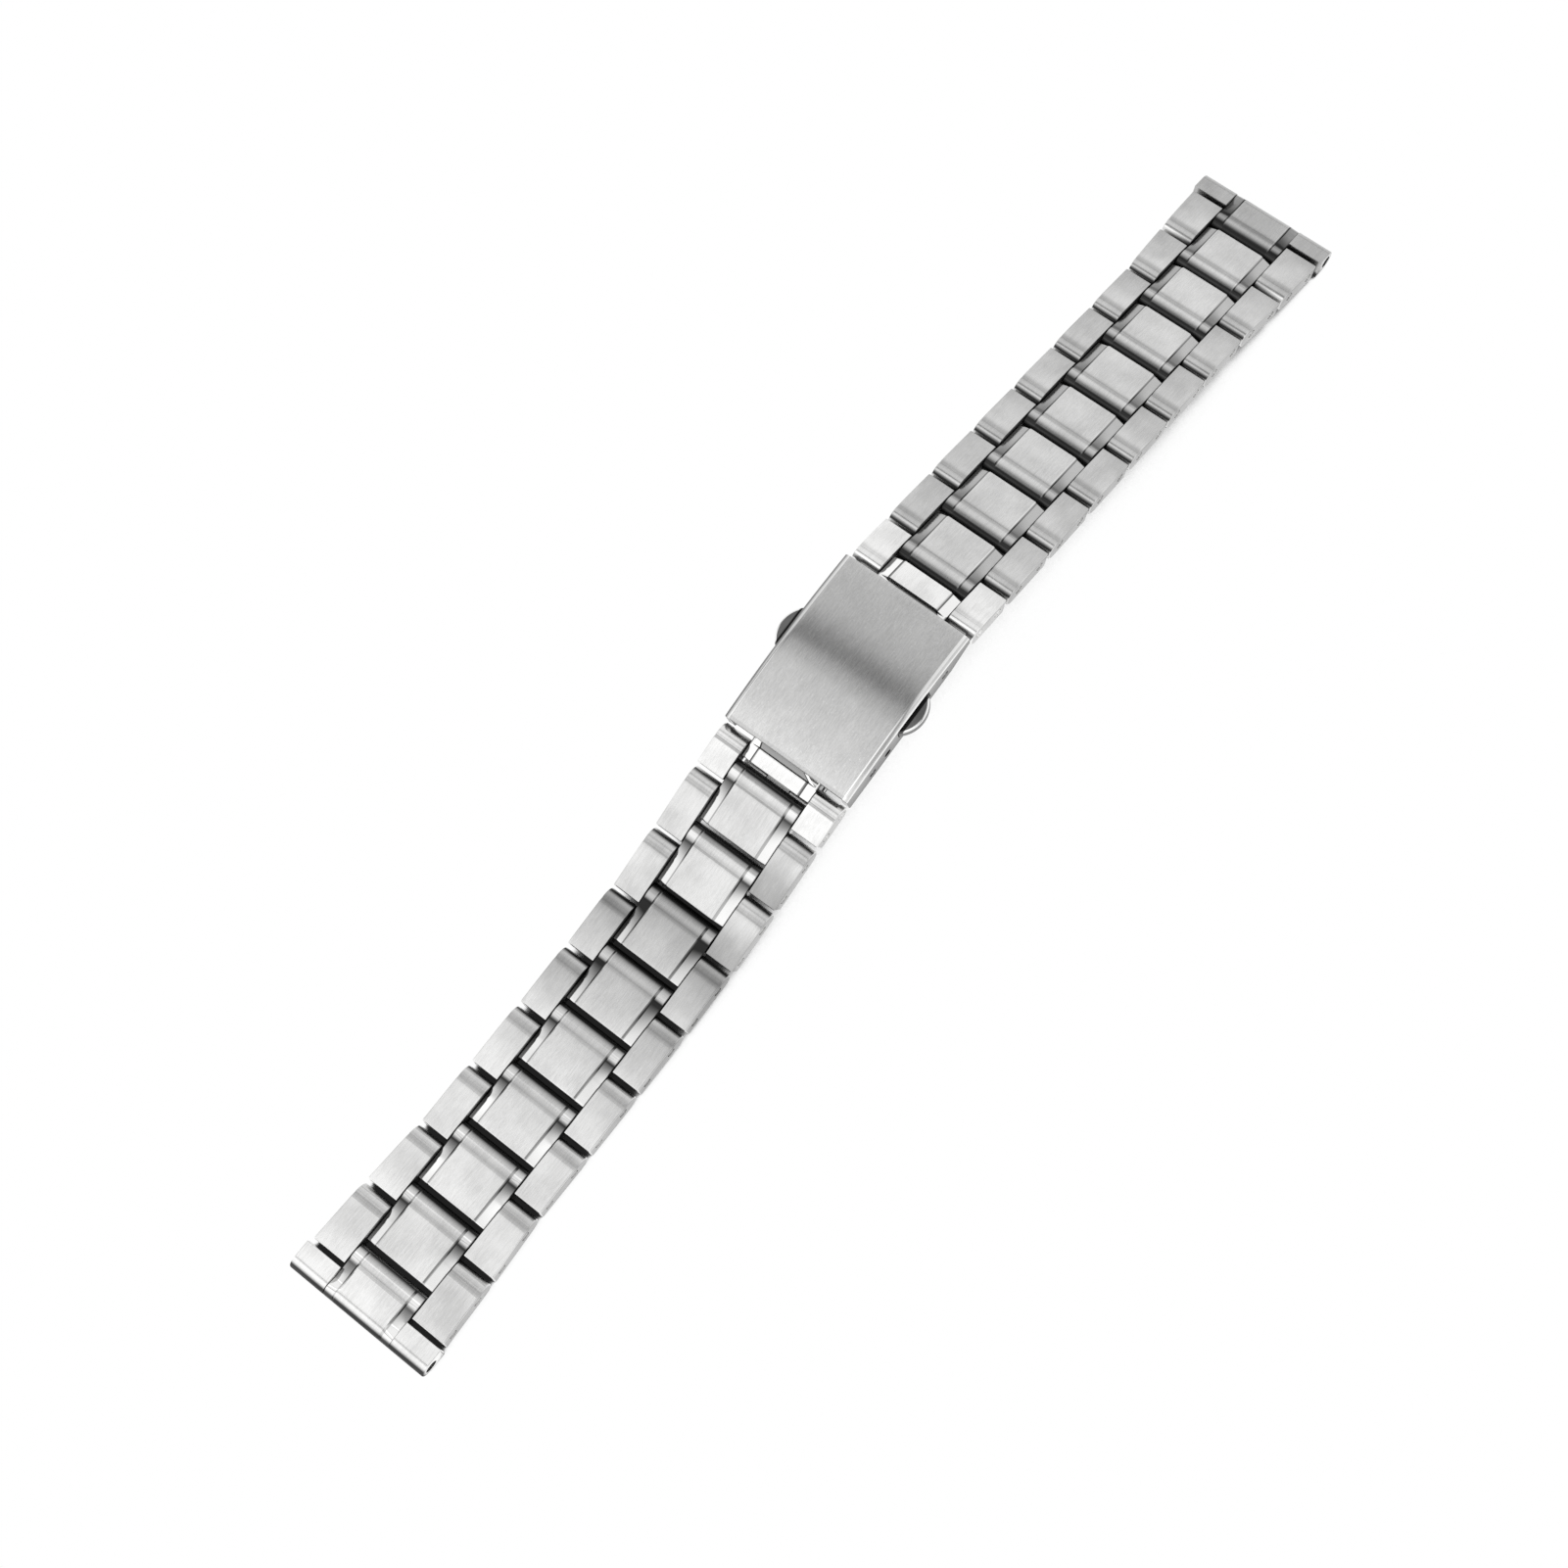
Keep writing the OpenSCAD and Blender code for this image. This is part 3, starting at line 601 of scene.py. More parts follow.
class Shell:
    """A mesh in the making, in millimetres, with a finish for each face."""

    def __init__(self) -> None:
        """Starts empty."""
        self.mesh = bmesh.new()

    def loft(self, rings: Sequence[Sequence[Vector]], finish: int | Callable[[int, int], int] = 0,
             caps: int | None = 0, closed: bool = False) -> "Shell":
        """Joins rings of as many points into a skin.

        Args:
            rings: the rings in order.
            finish: the finish of every face, or a function of ring and point.
            caps: the finish of the two end faces, or None for open ends.
            closed: whether the last ring joins the first.

        Returns:
            The shell itself.
        """
        verts = [[self.mesh.verts.new(p) for p in ring] for ring in rings]
        n = len(rings[0])
        faces = []
        for i in range(len(rings) if closed else len(rings) - 1):
            a, b = verts[i], verts[(i + 1) % len(rings)]
            for j in range(n):
                face = self.mesh.faces.new((a[j], a[(j + 1) % n], b[(j + 1) % n], b[j]))
                face.material_index = finish(i, j) if callable(finish) else finish
                faces.append(face)
        if caps is not None and not closed:
            for ring in (list(reversed(verts[0])), verts[-1]):
                face = self.mesh.faces.new(ring)
                face.material_index = caps
                faces.append(face)
        bmesh.ops.recalc_face_normals(self.mesh, faces=faces)
        return self

    def lathe(self, profile: Sequence[Point], x: float = 0, y: float = 0, z: float = 0, finish: int = 0,
              sides: int = 32) -> "Shell":
        """A turned part along X.

        Args:
            profile: pairs of (place along X, radius), with closed ends.
            x, y, z: where its zero lies.
            finish: its finish.
            sides: how many faces go round.

        Returns:
            The shell itself.
        """
        angles = [2 * math.pi * i / sides for i in range(sides)]
        rings = [[Vector((x + px, y + r * math.cos(a), z + r * math.sin(a))) for a in angles]
                 for px, r in profile]
        return self.loft(rings, finish, finish)

    def mirrored(self) -> "Shell":
        """Adds the mirror image across the strap's middle.

        Returns:
            The shell itself.
        """
        parts = self.mesh.verts[:] + self.mesh.edges[:] + self.mesh.faces[:]
        copy = bmesh.ops.duplicate(self.mesh, geom=parts)
        faces = [g for g in copy["geom"] if isinstance(g, bmesh.types.BMFace)]
        for v in (g for g in copy["geom"] if isinstance(g, bmesh.types.BMVert)):
            v.co.x = -v.co.x
        bmesh.ops.reverse_faces(self.mesh, faces=faces)
        return self

    def cut(self, cutters: "Shell", overlapping: bool = False) -> "Shell":
        """Takes the cutters' shapes out of this one.

        Args:
            cutters: closed shapes in the same frame.
            overlapping: whether this shell is made of shapes that run into each other.

        Returns:
            The shell itself, with its new mesh.
        """
        body, tool = self._object("cut_body"), cutters._object("cut_tool")
        modifier = body.modifiers.new("cut", "BOOLEAN")
        modifier.operation, modifier.object, modifier.solver = "DIFFERENCE", tool, "EXACT"
        modifier.use_self = overlapping
        graph = bpy.context.evaluated_depsgraph_get()
        made = bpy.data.meshes.new_from_object(body.evaluated_get(graph))
        self.mesh = bmesh.new()
        self.mesh.from_mesh(made)
        for thing in (body, tool):
            data = thing.data
            bpy.data.objects.remove(thing)
            bpy.data.meshes.remove(data)
        bpy.data.meshes.remove(made)
        return self

    def split(self, x: float) -> None:
        """Lays a line of points round the shell where it crosses x."""
        parts = self.mesh.verts[:] + self.mesh.edges[:] + self.mesh.faces[:]
        bmesh.ops.bisect_plane(self.mesh, geom=parts, plane_co=(x, 0, 0), plane_no=(1, 0, 0))

    def add(self, other: "Shell") -> "Shell":
        """Adds another shell's mesh to this one.

        Args:
            other: the other shell.

        Returns:
            The shell itself.
        """
        data = bpy.data.meshes.new("joined")
        other.mesh.to_mesh(data)
        self.mesh.from_mesh(data)
        bpy.data.meshes.remove(data)
        return self

    def _object(self, name: str) -> bpy.types.Object:
        """A passing object of the mesh, for a modifier.

        Args:
            name: its name.

        Returns:
            The object, linked to the scene.
        """
        data = bpy.data.meshes.new(name)
        self.mesh.to_mesh(data)
        made = bpy.data.objects.new(name, data)
        bpy.context.scene.collection.objects.link(made)
        return made

    def piece(self, name: str, place: Place, finishes: Sequence[bpy.types.Material], shift: float = 0,
              sharp: float = 34, tone: Callable[[Vector], float] = lambda spot: 0.0) -> bpy.types.Object:
        """Turns the shell into a piece of the scene.

        Args:
            name: the piece's name.
            place: the frame that it is built in.
            finishes: its materials, in the order of the face finishes.
            shift: how far its streaks are moved along, and by a share of it across, so that like pieces
                differ.
            sharp: the angle in degrees above which an edge stays sharp.
            tone: the painted shade at each point, and painted brightness where it is below 0.

        Returns:
            The new object, in the world's metres.
        """
        data = bpy.data.meshes.new(name)
        self.mesh.to_mesh(data)
        marks = data.attributes.new(PositionSource.PIECE.value, "FLOAT_VECTOR", "POINT")
        aside = shift * 0.37
        spots = [c for v in data.vertices for c in (v.co.x + aside, v.co.y + shift, v.co.z)]
        marks.data.foreach_set("vector", spots)
        tones = data.attributes.new(TONE, "FLOAT", "POINT")
        tones.data.foreach_set("value", [tone(v.co) for v in data.vertices])
        data.transform(place.matrix())
        for finish in finishes:
            data.materials.append(finish)
        data.shade_smooth()
        data.set_sharp_from_angle(angle=math.radians(sharp))
        made = bpy.data.objects.new(name, data)
        bpy.context.scene.collection.objects.link(made)
        return made


def slab(outline: Sequence[Point], x0: float, x1: float, edges: Point,
         drop: Callable[[float, float], float] = lambda x, u: 0.0, marks: Sequence[float] = (),
         grow: Callable[[float], float] = lambda u: 0.0, half_t: float = 1.3) -> list[Ring]:
    """Rings across a block whose side view is an outline.

    Args:
        outline: the side view, anticlockwise, as (along, up).
        x0, x1: the block's two side faces.
        edges: the rounding at each of them.
        drop: how far the top lies lower at x and at a place along.
        marks: places between the side faces that get a ring of their own.
        grow: how far the second side face moves out at a place along.
        half_t: half of the block's thickness.

    Returns:
        The rings, from x0 to x1.
    """
    stations = [(x0 + d, i, 0.0) for d, i in rounding(edges[0])]
    stations += [(x, 0.0, (x - x0) / (x1 - x0)) for x in marks]
    stations += [(x1 - d, i, 1.0) for d, i in reversed(rounding(edges[1]))]
    rings = []
    for x, depth, share in stations:
        ring = []
        for u, v in inset(outline, depth):
            sunk = drop(x, u) * (v + half_t) / (2 * half_t)
            ring.append(Vector((x + share * grow(u), u, v - sunk)))
        rings.append(ring)
    return rings


def keep(made: bpy.types.Object, body: str, slot: Slot, *nodes: str) -> None:
    """Lets a piece ride on its body in place of CAD nodes, and reports it.

    Args:
        made: the piece.
        body: the body that it moves with.
        slot: the record's slot of its finish; not used.
        nodes: the CAD nodes that it stands for.
    """
    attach(made, body)
    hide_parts(*nodes)
    LOG.info("%s rides on %s, %d faces", made.name, body, len(made.data.polygons))


# Finishes


class NodeBench:
    """Short ways to lay nodes in one tree."""

    def __init__(self, tree: bpy.types.NodeTree) -> None:
        """Keeps the tree."""
        self.tree = tree

    def link(self, out: bpy.types.NodeSocket, into: bpy.types.NodeSocket) -> None:
        """Joins two sockets."""
        self.tree.links.new(out, into)

    def node(self, kind: str, inputs: dict | None = None, **settings: object) -> bpy.types.Node:
        """A new node with its settings and inputs.

        Args:
            kind: the node's type.
            inputs: for an input's name or number, the socket that feeds it or its value.
            settings: the node's other settings.

        Returns:
            The node.
        """
        made = self.tree.nodes.new(kind)
        for key, value in settings.items():
            setattr(made, key, value)
        for key, value in (inputs or {}).items():
            if isinstance(value, bpy.types.NodeSocket):
                self.link(value, made.inputs[key])
            else:
                made.inputs[key].default_value = value
        return made

    def math(self, operation: str, *inputs: object) -> bpy.types.NodeSocket:
        """The result of a Math node on sockets or numbers."""
        return self.node("ShaderNodeMath", dict(enumerate(inputs)), operation=operation).outputs[0]

    def vector(self, operation: str, **inputs: object) -> bpy.types.NodeSocket:
        """The result of a Vector Math node.

        Args:
            operation: what it does.
            inputs: its sockets or values, named first, second and Scale.

        Returns:
            The result's socket.
        """
        keys = {"first": 0, "second": 1}
        fed = {keys.get(name, name): value for name, value in inputs.items()}
        return self.node("ShaderNodeVectorMath", fed, operation=operation).outputs[0]

    def spread(self, value: bpy.types.NodeSocket, span: Point, lowest: float = 0.0,
               interpolation: str = "LINEAR") -> bpy.types.NodeSocket:
        """A span of values drawn out to reach from the lowest to 1, clamped.

        Args:
            value: the socket.
            span: the values that become the lowest and 1.
            lowest: what the span's start becomes.
            interpolation: the node's kind of step.

        Returns:
            The result's socket.
        """
        fed = {"Value": value, "From Min": span[0], "From Max": span[1], "To Min": lowest}
        return self.node("ShaderNodeMapRange", fed, clamp=True, interpolation_type=interpolation).outputs[0]


class FinishGroups:
    """The shader groups that the finishes share, each built once."""

    # How many times finer the second layer of streaks is
    finer = 4.3
    # The share of the broad streaks in each of the brushing's outputs
    broad_shares = (("Streak", 0.45), ("Height", 0.7))
    # Input with the size, output and the span of noise of each handling mark
    mark_spans = (("Patch Size", "Tone", (0.3, 0.7)), ("Speck Size", "Speck", (0.66, 0.78)))

    def __init__(self) -> None:
        """Builds the groups."""
        self.brushing = self._brushing()
        self.handling = self._handling()

    def _new(self, name: str, inputs: dict[str, float | None], outputs: Sequence[str]) -> tuple:
        """A group with its sockets.

        Args:
            name: the group's name.
            inputs: the default of each input, or None for a place.
            outputs: names of the value outputs.

        Returns:
            The bench, the input node and the output node.
        """
        group = bpy.data.node_groups.new(name, "ShaderNodeTree")
        for label, value in inputs.items():
            kind = "NodeSocketVector" if value is None else "NodeSocketFloat"
            made = group.interface.new_socket(label, in_out="INPUT", socket_type=kind)
            if value is not None:
                made.default_value = value
        for label in outputs:
            group.interface.new_socket(label, in_out="OUTPUT", socket_type="NodeSocketFloat")
        bench = NodeBench(group)
        return bench, bench.node("NodeGroupInput"), bench.node("NodeGroupOutput")

    def _noise(self, bench: NodeBench, place: bpy.types.NodeSocket, **inputs: float) -> bpy.types.NodeSocket:
        """Noise of scale 1 at a place, with the inputs named."""
        fed = {"Vector": place, "Scale": 1.0, **inputs}
        return bench.node("ShaderNodeTexNoise", fed, noise_dimensions="3D").outputs[0]

    def _streaks(self, bench: NodeBench, source: bpy.types.Node, finer: float,
                 detail: float) -> bpy.types.NodeSocket:
        """Noise drawn out along the strap.

        Args:
            bench: the group's bench.
            source: the group's input node.
            finer: how many times finer than the streak width.
            detail: the noise's detail.

        Returns:
            The noise's value socket.
        """
        apart = bench.node("ShaderNodeSeparateXYZ", {0: source.outputs["Position"]})
        scaled = {}
        for i, size in enumerate(("Streak Width", "Streak Length", "Streak Width")):
            share = bench.math("DIVIDE", apart.outputs[i], source.outputs[size])
            scaled[i] = bench.math("MULTIPLY", share, finer)
        together = bench.node("ShaderNodeCombineXYZ", scaled)
        return self._noise(bench, together.outputs[0], Detail=detail, Roughness=0.6)

    def _brushing(self) -> bpy.types.NodeTree:
        """Streaks left by a brushing belt that runs along the strap.

        Returns:
            The group.
        """
        inputs = {"Position": None, "Streak Width": 0.3, "Streak Length": 6.0}
        names = [name for name, _ in self.broad_shares]
        bench, source, result = self._new("lengthwise_brushing", inputs, names)
        broad = self._streaks(bench, source, 1.0, 3.0)
        fine = self._streaks(bench, source, self.finer, 2.0)
        for name, share in self.broad_shares:
            mixed = bench.math("MULTIPLY_ADD", broad, share, bench.math("MULTIPLY", fine, 1 - share))
            bench.link(mixed, result.inputs[name])
        return bench.tree

    def _handling(self) -> bpy.types.NodeTree:
        """Slow changes of tone and small bright pits from handling.

        Returns:
            The group.
        """
        inputs = {"Position": None, "Patch Size": 4.0, "Speck Size": 0.35}
        bench, source, result = self._new("handling_marks", inputs, [name for _, name, _ in self.mark_spans])
        for size, name, span in self.mark_spans:
            cube = bench.node("ShaderNodeCombineXYZ", {i: source.outputs[size] for i in range(3)})
            place = bench.vector("DIVIDE", first=source.outputs["Position"], second=cube.outputs[0])
            bench.link(bench.spread(self._noise(bench, place, Detail=2.0), span), result.inputs[name])
        return bench.tree


@dataclass(frozen=True)
class SteelFinish:
    """One finish of the steel.

    Attributes:
        name: the material's name.
        dark, light: the linear greys of its dark and its light streaks.
        roughness, sheen: its roughness, and how much the streaks change it.
        streak_w, streak_len: size of a streak, in millimetres.
        height: depth of the streaks, in millimetres.
        patch: the share of the slow changes of tone in its pattern.
        speck, speck_size: strength and size of the bright pits, in millimetres.
        source: where it reads the place of its streaks.
        contrast: the values of the pattern that become the dark and the light grey.
        painted_shade_rough: how much rougher the tone's painted shade makes it.
    """

    name: str
    dark: float
    light: float
    roughness: float
    streak_w: float = 0.3
    streak_len: float = 6.0
    sheen: float = 0.12
    height: float = 0.0022
    patch: float = 0.35
    speck: float = 0.0
    speck_size: float = 0.35
    source: PositionSource = PositionSource.PIECE
    contrast: Point = (0.34, 0.66)
    painted_shade_rough: float = 0.3

    def build(self, groups: FinishGroups) -> bpy.types.Material:
        """Makes the material.

        Args:
            groups: the shared shader groups.

        Returns:
            The material.
        """
        made = bpy.data.materials.new(self.name)
        made.use_nodes = True
        made.node_tree.nodes.clear()
        bench = NodeBench(made.node_tree)
        position = self._position(bench)
        streaks = {"Position": position, "Streak Width": self.streak_w, "Streak Length": self.streak_len}
        brushing = bench.node("ShaderNodeGroup", streaks, node_tree=groups.brushing)
        marks = {"Position": position, "Speck Size": self.speck_size}
        handling = bench.node("ShaderNodeGroup", marks, node_tree=groups.handling)
        tone = bench.node("ShaderNodeAttribute", attribute_name=TONE).outputs["Fac"]
        smoothest = self.roughness - self.sheen / 2
        rough = bench.math("MULTIPLY_ADD", brushing.outputs["Streak"], self.sheen, smoothest)
        # The tone's painted shade also makes the steel rougher there
        painted_shade = bench.math("MAXIMUM", tone, 0.0)
        bump = bench.node("ShaderNodeBump", {"Height": brushing.outputs["Height"], "Strength": 1.0,
                                             "Distance": self.height * MM})
        shader = bench.node("ShaderNodeBsdfPrincipled", {
            "Base Color": self._colour(bench, brushing, handling, tone),
            "Metallic": 1.0,
            "Roughness": bench.math("MULTIPLY_ADD", painted_shade, self.painted_shade_rough, rough),
            "Normal": bump.outputs[0]})
        bench.node("ShaderNodeOutputMaterial", {"Surface": shader.outputs[0]})
        return made

    def _colour(self, bench: NodeBench, brushing: bpy.types.Node, handling: bpy.types.Node,
                tone: bpy.types.NodeSocket) -> bpy.types.NodeSocket:
        """The base colour: the streaks' greys, with the tone's painted shade and brightness, held below
        white.

        Args:
            bench: the material's bench.
            brushing: the brushing group's node.
            handling: the handling group's node.
            tone: the tone's socket.

        Returns:
            The colour's socket.
        """
        patches = bench.math("MULTIPLY", handling.outputs["Tone"], self.patch)
        share = bench.math("MULTIPLY_ADD", brushing.outputs["Streak"], 1 - self.patch, patches)
        share = bench.math("MULTIPLY_ADD", handling.outputs["Speck"], self.speck, share)
        greys = bench.node("ShaderNodeValToRGB", {0: share})
        for stop, place, value in zip(greys.color_ramp.elements, self.contrast, (self.dark, self.light)):
            stop.position = place
            stop.color = (*grey(value), 1)
        # The tone's painted shade darkens the grey, and its painted brightness lifts it
        shaded = bench.vector("SCALE", first=greys.outputs[0], Scale=bench.math("SUBTRACT", 1.0, tone))
        return bench.vector("MINIMUM", first=shaded, second=grey(BRIGHTEST_STEEL))

    def _position(self, bench: NodeBench) -> bpy.types.NodeSocket:
        """The place of a point in millimetres, from the piece's mesh or its object.

        Args:
            bench: the material's bench.

        Returns:
            The place's socket.
        """
        if self.source is PositionSource.PIECE:
            return bench.node("ShaderNodeAttribute", attribute_name=self.source.value).outputs["Vector"]
        place = bench.node("ShaderNodeTexCoord").outputs["Object"]
        return bench.vector("SCALE", first=place, Scale=1 / MM)


def grey(value: float) -> tuple[float, float, float]:
    """A neutral steel grey of that linear value, a hair warm."""
    return (value, value * 0.998, value * 0.992)


class Finishes:
    """Every finish of the bracelet, built once."""

    def __init__(self) -> None:
        """Builds the materials."""
        groups = FinishGroups()
        cad = PositionSource.CAD

        def steel(name: str, dark: float, light: float, roughness: float,
                  **more: object) -> bpy.types.Material:
            """A finish, built."""
            return SteelFinish(name, dark, light, roughness, **more).build(groups)

        self.links = steel("brushed_links", 0.56, 0.76, 0.17, streak_w=0.17, streak_len=4, patch=0.25,
                           speck=0.14, speck_size=0.22)
        self.pads = steel("brushed_pads", 0.55, 0.76, 0.18, streak_w=0.15, streak_len=2.4, patch=0.2,
                          speck=0.14, speck_size=0.2)
        # A darker copy of the steel for the side links' outer sides: painted shade
        self.sides = steel("brushed_sides", 0.36, 0.46, 0.3, streak_w=0.3, streak_len=8)
        # A darker copy of the steel for the cover's walls: painted shade
        self.walls = steel("brushed_walls", 0.24, 0.36, 0.3, streak_w=0.25, streak_len=7)
        # A brighter copy of the cover's steel for its shoulders: painted highlight
        self.shoulders = steel("brushed_shoulders", 0.64, 0.86, 0.2, streak_w=0.12, streak_len=9, sheen=0.05)
        self.strips = steel("polished_strips", 0.74, 0.8, 0.09, sheen=0.03, height=0.0003)
        self.cover = steel("brushed_cover", 0.46, 0.67, 0.13, streak_w=0.13, streak_len=1.8, sheen=0.1,
                           height=0.0018, patch=0.08, speck=0.34, speck_size=0.24)
        # Polished and brighter than steel is: partly real polish, partly painted highlight
        self.bevels = steel("polished_bevels", 0.92, 0.97, 0.1, sheen=0.03, height=0.0003)
        # Near black: painted shade on the buttons' steel tops
        self.button_tops = steel("button_tops", 0.13, 0.2, 0.3, streak_w=0.2, streak_len=3)
        # Polished and brighter than steel is: partly real polish, partly painted highlight
        self.button_rims = steel("button_rims", 0.84, 0.92, 0.1, sheen=0.04, height=0.0004)
        self.pins = steel("turned_pins", 0.5, 0.62, 0.25, streak_w=0.15, streak_len=0.8)
        self.inside = steel("satin_inside", 0.48, 0.6, 0.38, streak_w=0.4, streak_len=5)
        self.springs = steel("spring_wire", 0.42, 0.55, 0.24, streak_w=0.1, streak_len=0.5)
        self.cad_blades = steel("satin_blades", 0.52, 0.66, 0.3, streak_w=0.35, streak_len=9, source=cad)
        self.cad_pins = steel("turned_small_parts", 0.5, 0.64, 0.24, streak_w=0.15, streak_len=0.8,
                              source=cad)


# The strap


@dataclass
class Links:
    """The links, end pieces and visible pin ends of both halves.

    A pair of values is for the twelve and the six half, unless it says otherwise.

    Attributes:
        sizes, finishes, reader: the links' sizes, their finishes, and where their places come from.
        top, side_top: the lengthwise forms of centre and of side links.
        first_len, first_start: length and start of the side links beside the clasp.
        block_edge, side_edges, wing_edges: rounding of centre links, and of side links and of wings on
            their inner and outer side.
        wing_gap: the seam between an end piece's tongue and its wings.
        pad_margin, line_w, line_fade: how far in from its edge a pad gets a ring of points, and the width
            and fading of the dark lines beside it.
        neck_*, barrel_*: the neck and barrel of the clasp end links.
        hole_fit, hole_deep, pin_show, pin_chamfer: the holes in the side links' outer faces, and the pin
            ends in them.
        painted_brightness_rows: (row, its painted brightness, which is painted shade below 0) for each half.
        pad_gain, side_gain: how much painted brightness pads and side links gain towards their outer ends.
        steep_rows: the rows of the six half from this one on slope too steeply for that.
        lean_6: painted shade on the left side links of the six half, outwards, in flat and steep rows.
        side_valley: painted shade and half length of the side links' valley.
        wedge, wedge_len, long_wedges, long_wedge: the strips' painted dark wedges, the six half's rows with
            longer ones, and how many times longer they are.
        strip, left_step, right_step, foot: painted shade and highlight on the strips and beside the pads.
        clasp_steps, clasp_foot: painted shade on the lines of the clasp end links.
        end_*: how the end pieces' painted shade differs, see Tone.
        margin, seam_over: how far a shade stays off an edge, and how far a seam's shade reaches over one.
        row_shift, half_shift, centre_shift, end_shift: how far streaks are moved, so that like links differ.
    """

    sizes: LinkSizes
    finishes: Finishes
    reader: FrameReader
    top: LinkTop = LinkTop()
    side_top: LinkTop = LinkTop(valley=1.5, dip=0.05, shoulder=0.5, crown_fall=0.24)
    first_len: Point = (6.35, 5.15)
    first_start: Point = (1.6, 4.6)
    block_edge: float = 0.06
    side_edges: Point = (0.07, 0.14)
    wing_edges: Point = (0.05, 0.13)
    wing_gap: float = 0.015
    pad_margin: float = 0.3
    line_w: float = 0.1
    line_fade: float = 0.04
    neck_drop: float = 0.5
    neck_in: float = 0.3
    neck_corner: float = 0.12
    barrel_r: float = 1.05
    barrel_bore: Point = (0.54, 0.74)
    barrel_len: Point = (8.9, 14.0)
    hole_fit: float = 0.035
    hole_deep: float = 0.35
    pin_show: float = 0.5
    pin_chamfer: float = 0.05
    painted_brightness_rows: tuple[tuple[Point, ...], ...] = (
        ((9, 0.4), (0, -0.25)),
        ((9, 0.35), (8, 0.06), (7, 0.06), (6, -0.3), (5, -0.15), (0, 0.14)))
    pad_gain: Point = (-0.04, 0.3)
    side_gain: Point = (-0.22, 0.38)
    steep_rows: int = 7
    lean_6: Point = (0.1, 0.45)
    side_valley: Point = (0.34, 0.46)
    wedge: Point = (0.36, 0.9)
    wedge_len: Point = (2.2, 1.9)
    long_wedges: tuple[int, ...] = (5, 6)
    long_wedge: float = 1.6
    strip: Point = (0.28, -0.05)
    left_step: Point = (-0.1, 0.5)
    right_step: float = -0.15
    foot: Point = (0.35, 0.5)
    clasp_steps: Point = (0.8, 0.4)
    clasp_foot: float = 1.2
    end_open: float = 2.2
    end_gap: float = 0.7
    end_rim: Point = (0.0, 1.35)
    end_seam: Point = (0.15, 0.65)
    margin: float = 0.05
    seam_over: float = 0.03
    row_shift: float = 23.0
    half_shift: float = 411.0
    centre_shift: float = 9.0
    end_shift: Point = (77.0, 388.0)

    def side_pair(self, start: float, length: float, grow: Point) -> Shell:
        """The two side links of a row and the ends of their pins.

        Args:
            start: distance of their clasp-side ends from the hinge.
            length: their length.
            grow: how far they flare at the two ends.

        Returns:
            The shell, brushed tops 0, sides 1, pins 2.
        """
        s = self.sizes
        x0, x1 = s.centre_w / 2 + s.side_gap, s.strap_w / 2

        def flare(y: float) -> float:
            """How far the links reach out at y."""
            return grow[0] + (grow[1] - grow[0]) * (y - start) / length

        outline = self.side_top.outline(start, length, s.half_t)
        block = Shell().loft(slab(outline, x0, x1, self.side_edges, grow=flare), 0, 1)
        hinge_pin, fixed_pin = start + length - s.reach, start + (length - s.gap) / 2 - s.reach
        drills, pins = Shell(), Shell()
        hole_r = s.pin_r + self.hole_fit
        shown, chamfer = self.pin_show, self.pin_chamfer
        for y in (hinge_pin, fixed_pin):
            face = x1 + flare(y) - s.pin_inset
            drills.lathe([(face - self.hole_deep, hole_r), (THROUGH, hole_r)], y=y, sides=28)
            profile = [(0, s.pin_r), (shown - chamfer, s.pin_r), (shown, s.pin_r - chamfer)]
            pins.lathe(profile, x=face - shown, y=y, finish=2, sides=28)
        return block.cut(drills).add(pins).mirrored()

    def centre_block(self, start: float, length: float, top: LinkTop, form: StripForm) -> Shell:
        """A centre link: a brushed pad between two polished strips.

        Args:
            start: distance of its clasp-side end from the hinge.
            length: its length.
            top: its lengthwise form.
            form: how far its top lies below the pad.

        Returns:
            The shell, pad 0, strips 1.
        """
        s, line, faded = self.sizes, self.line_w, self.line_w + self.line_fade
        w, pad, foot = s.centre_w / 2, s.pad_w / 2, s.pad_w / 2 + s.step_w
        right = [pad - self.pad_margin, pad - form.soft, pad, foot, foot + line, foot + faded]
        right += [(foot + w) / 2, w - faded, w - line]
        marks = [-x for x in reversed(right)] + right
        edges = (self.block_edge, self.block_edge)
        rings = slab(top.outline(start, length, s.half_t), -w, w, edges, form, marks)
        middles = [abs(a[0].x + b[0].x) / 2 for a, b in zip(rings, rings[1:])]
        return Shell().loft(rings, lambda i, j: int(middles[i] > pad), 1)

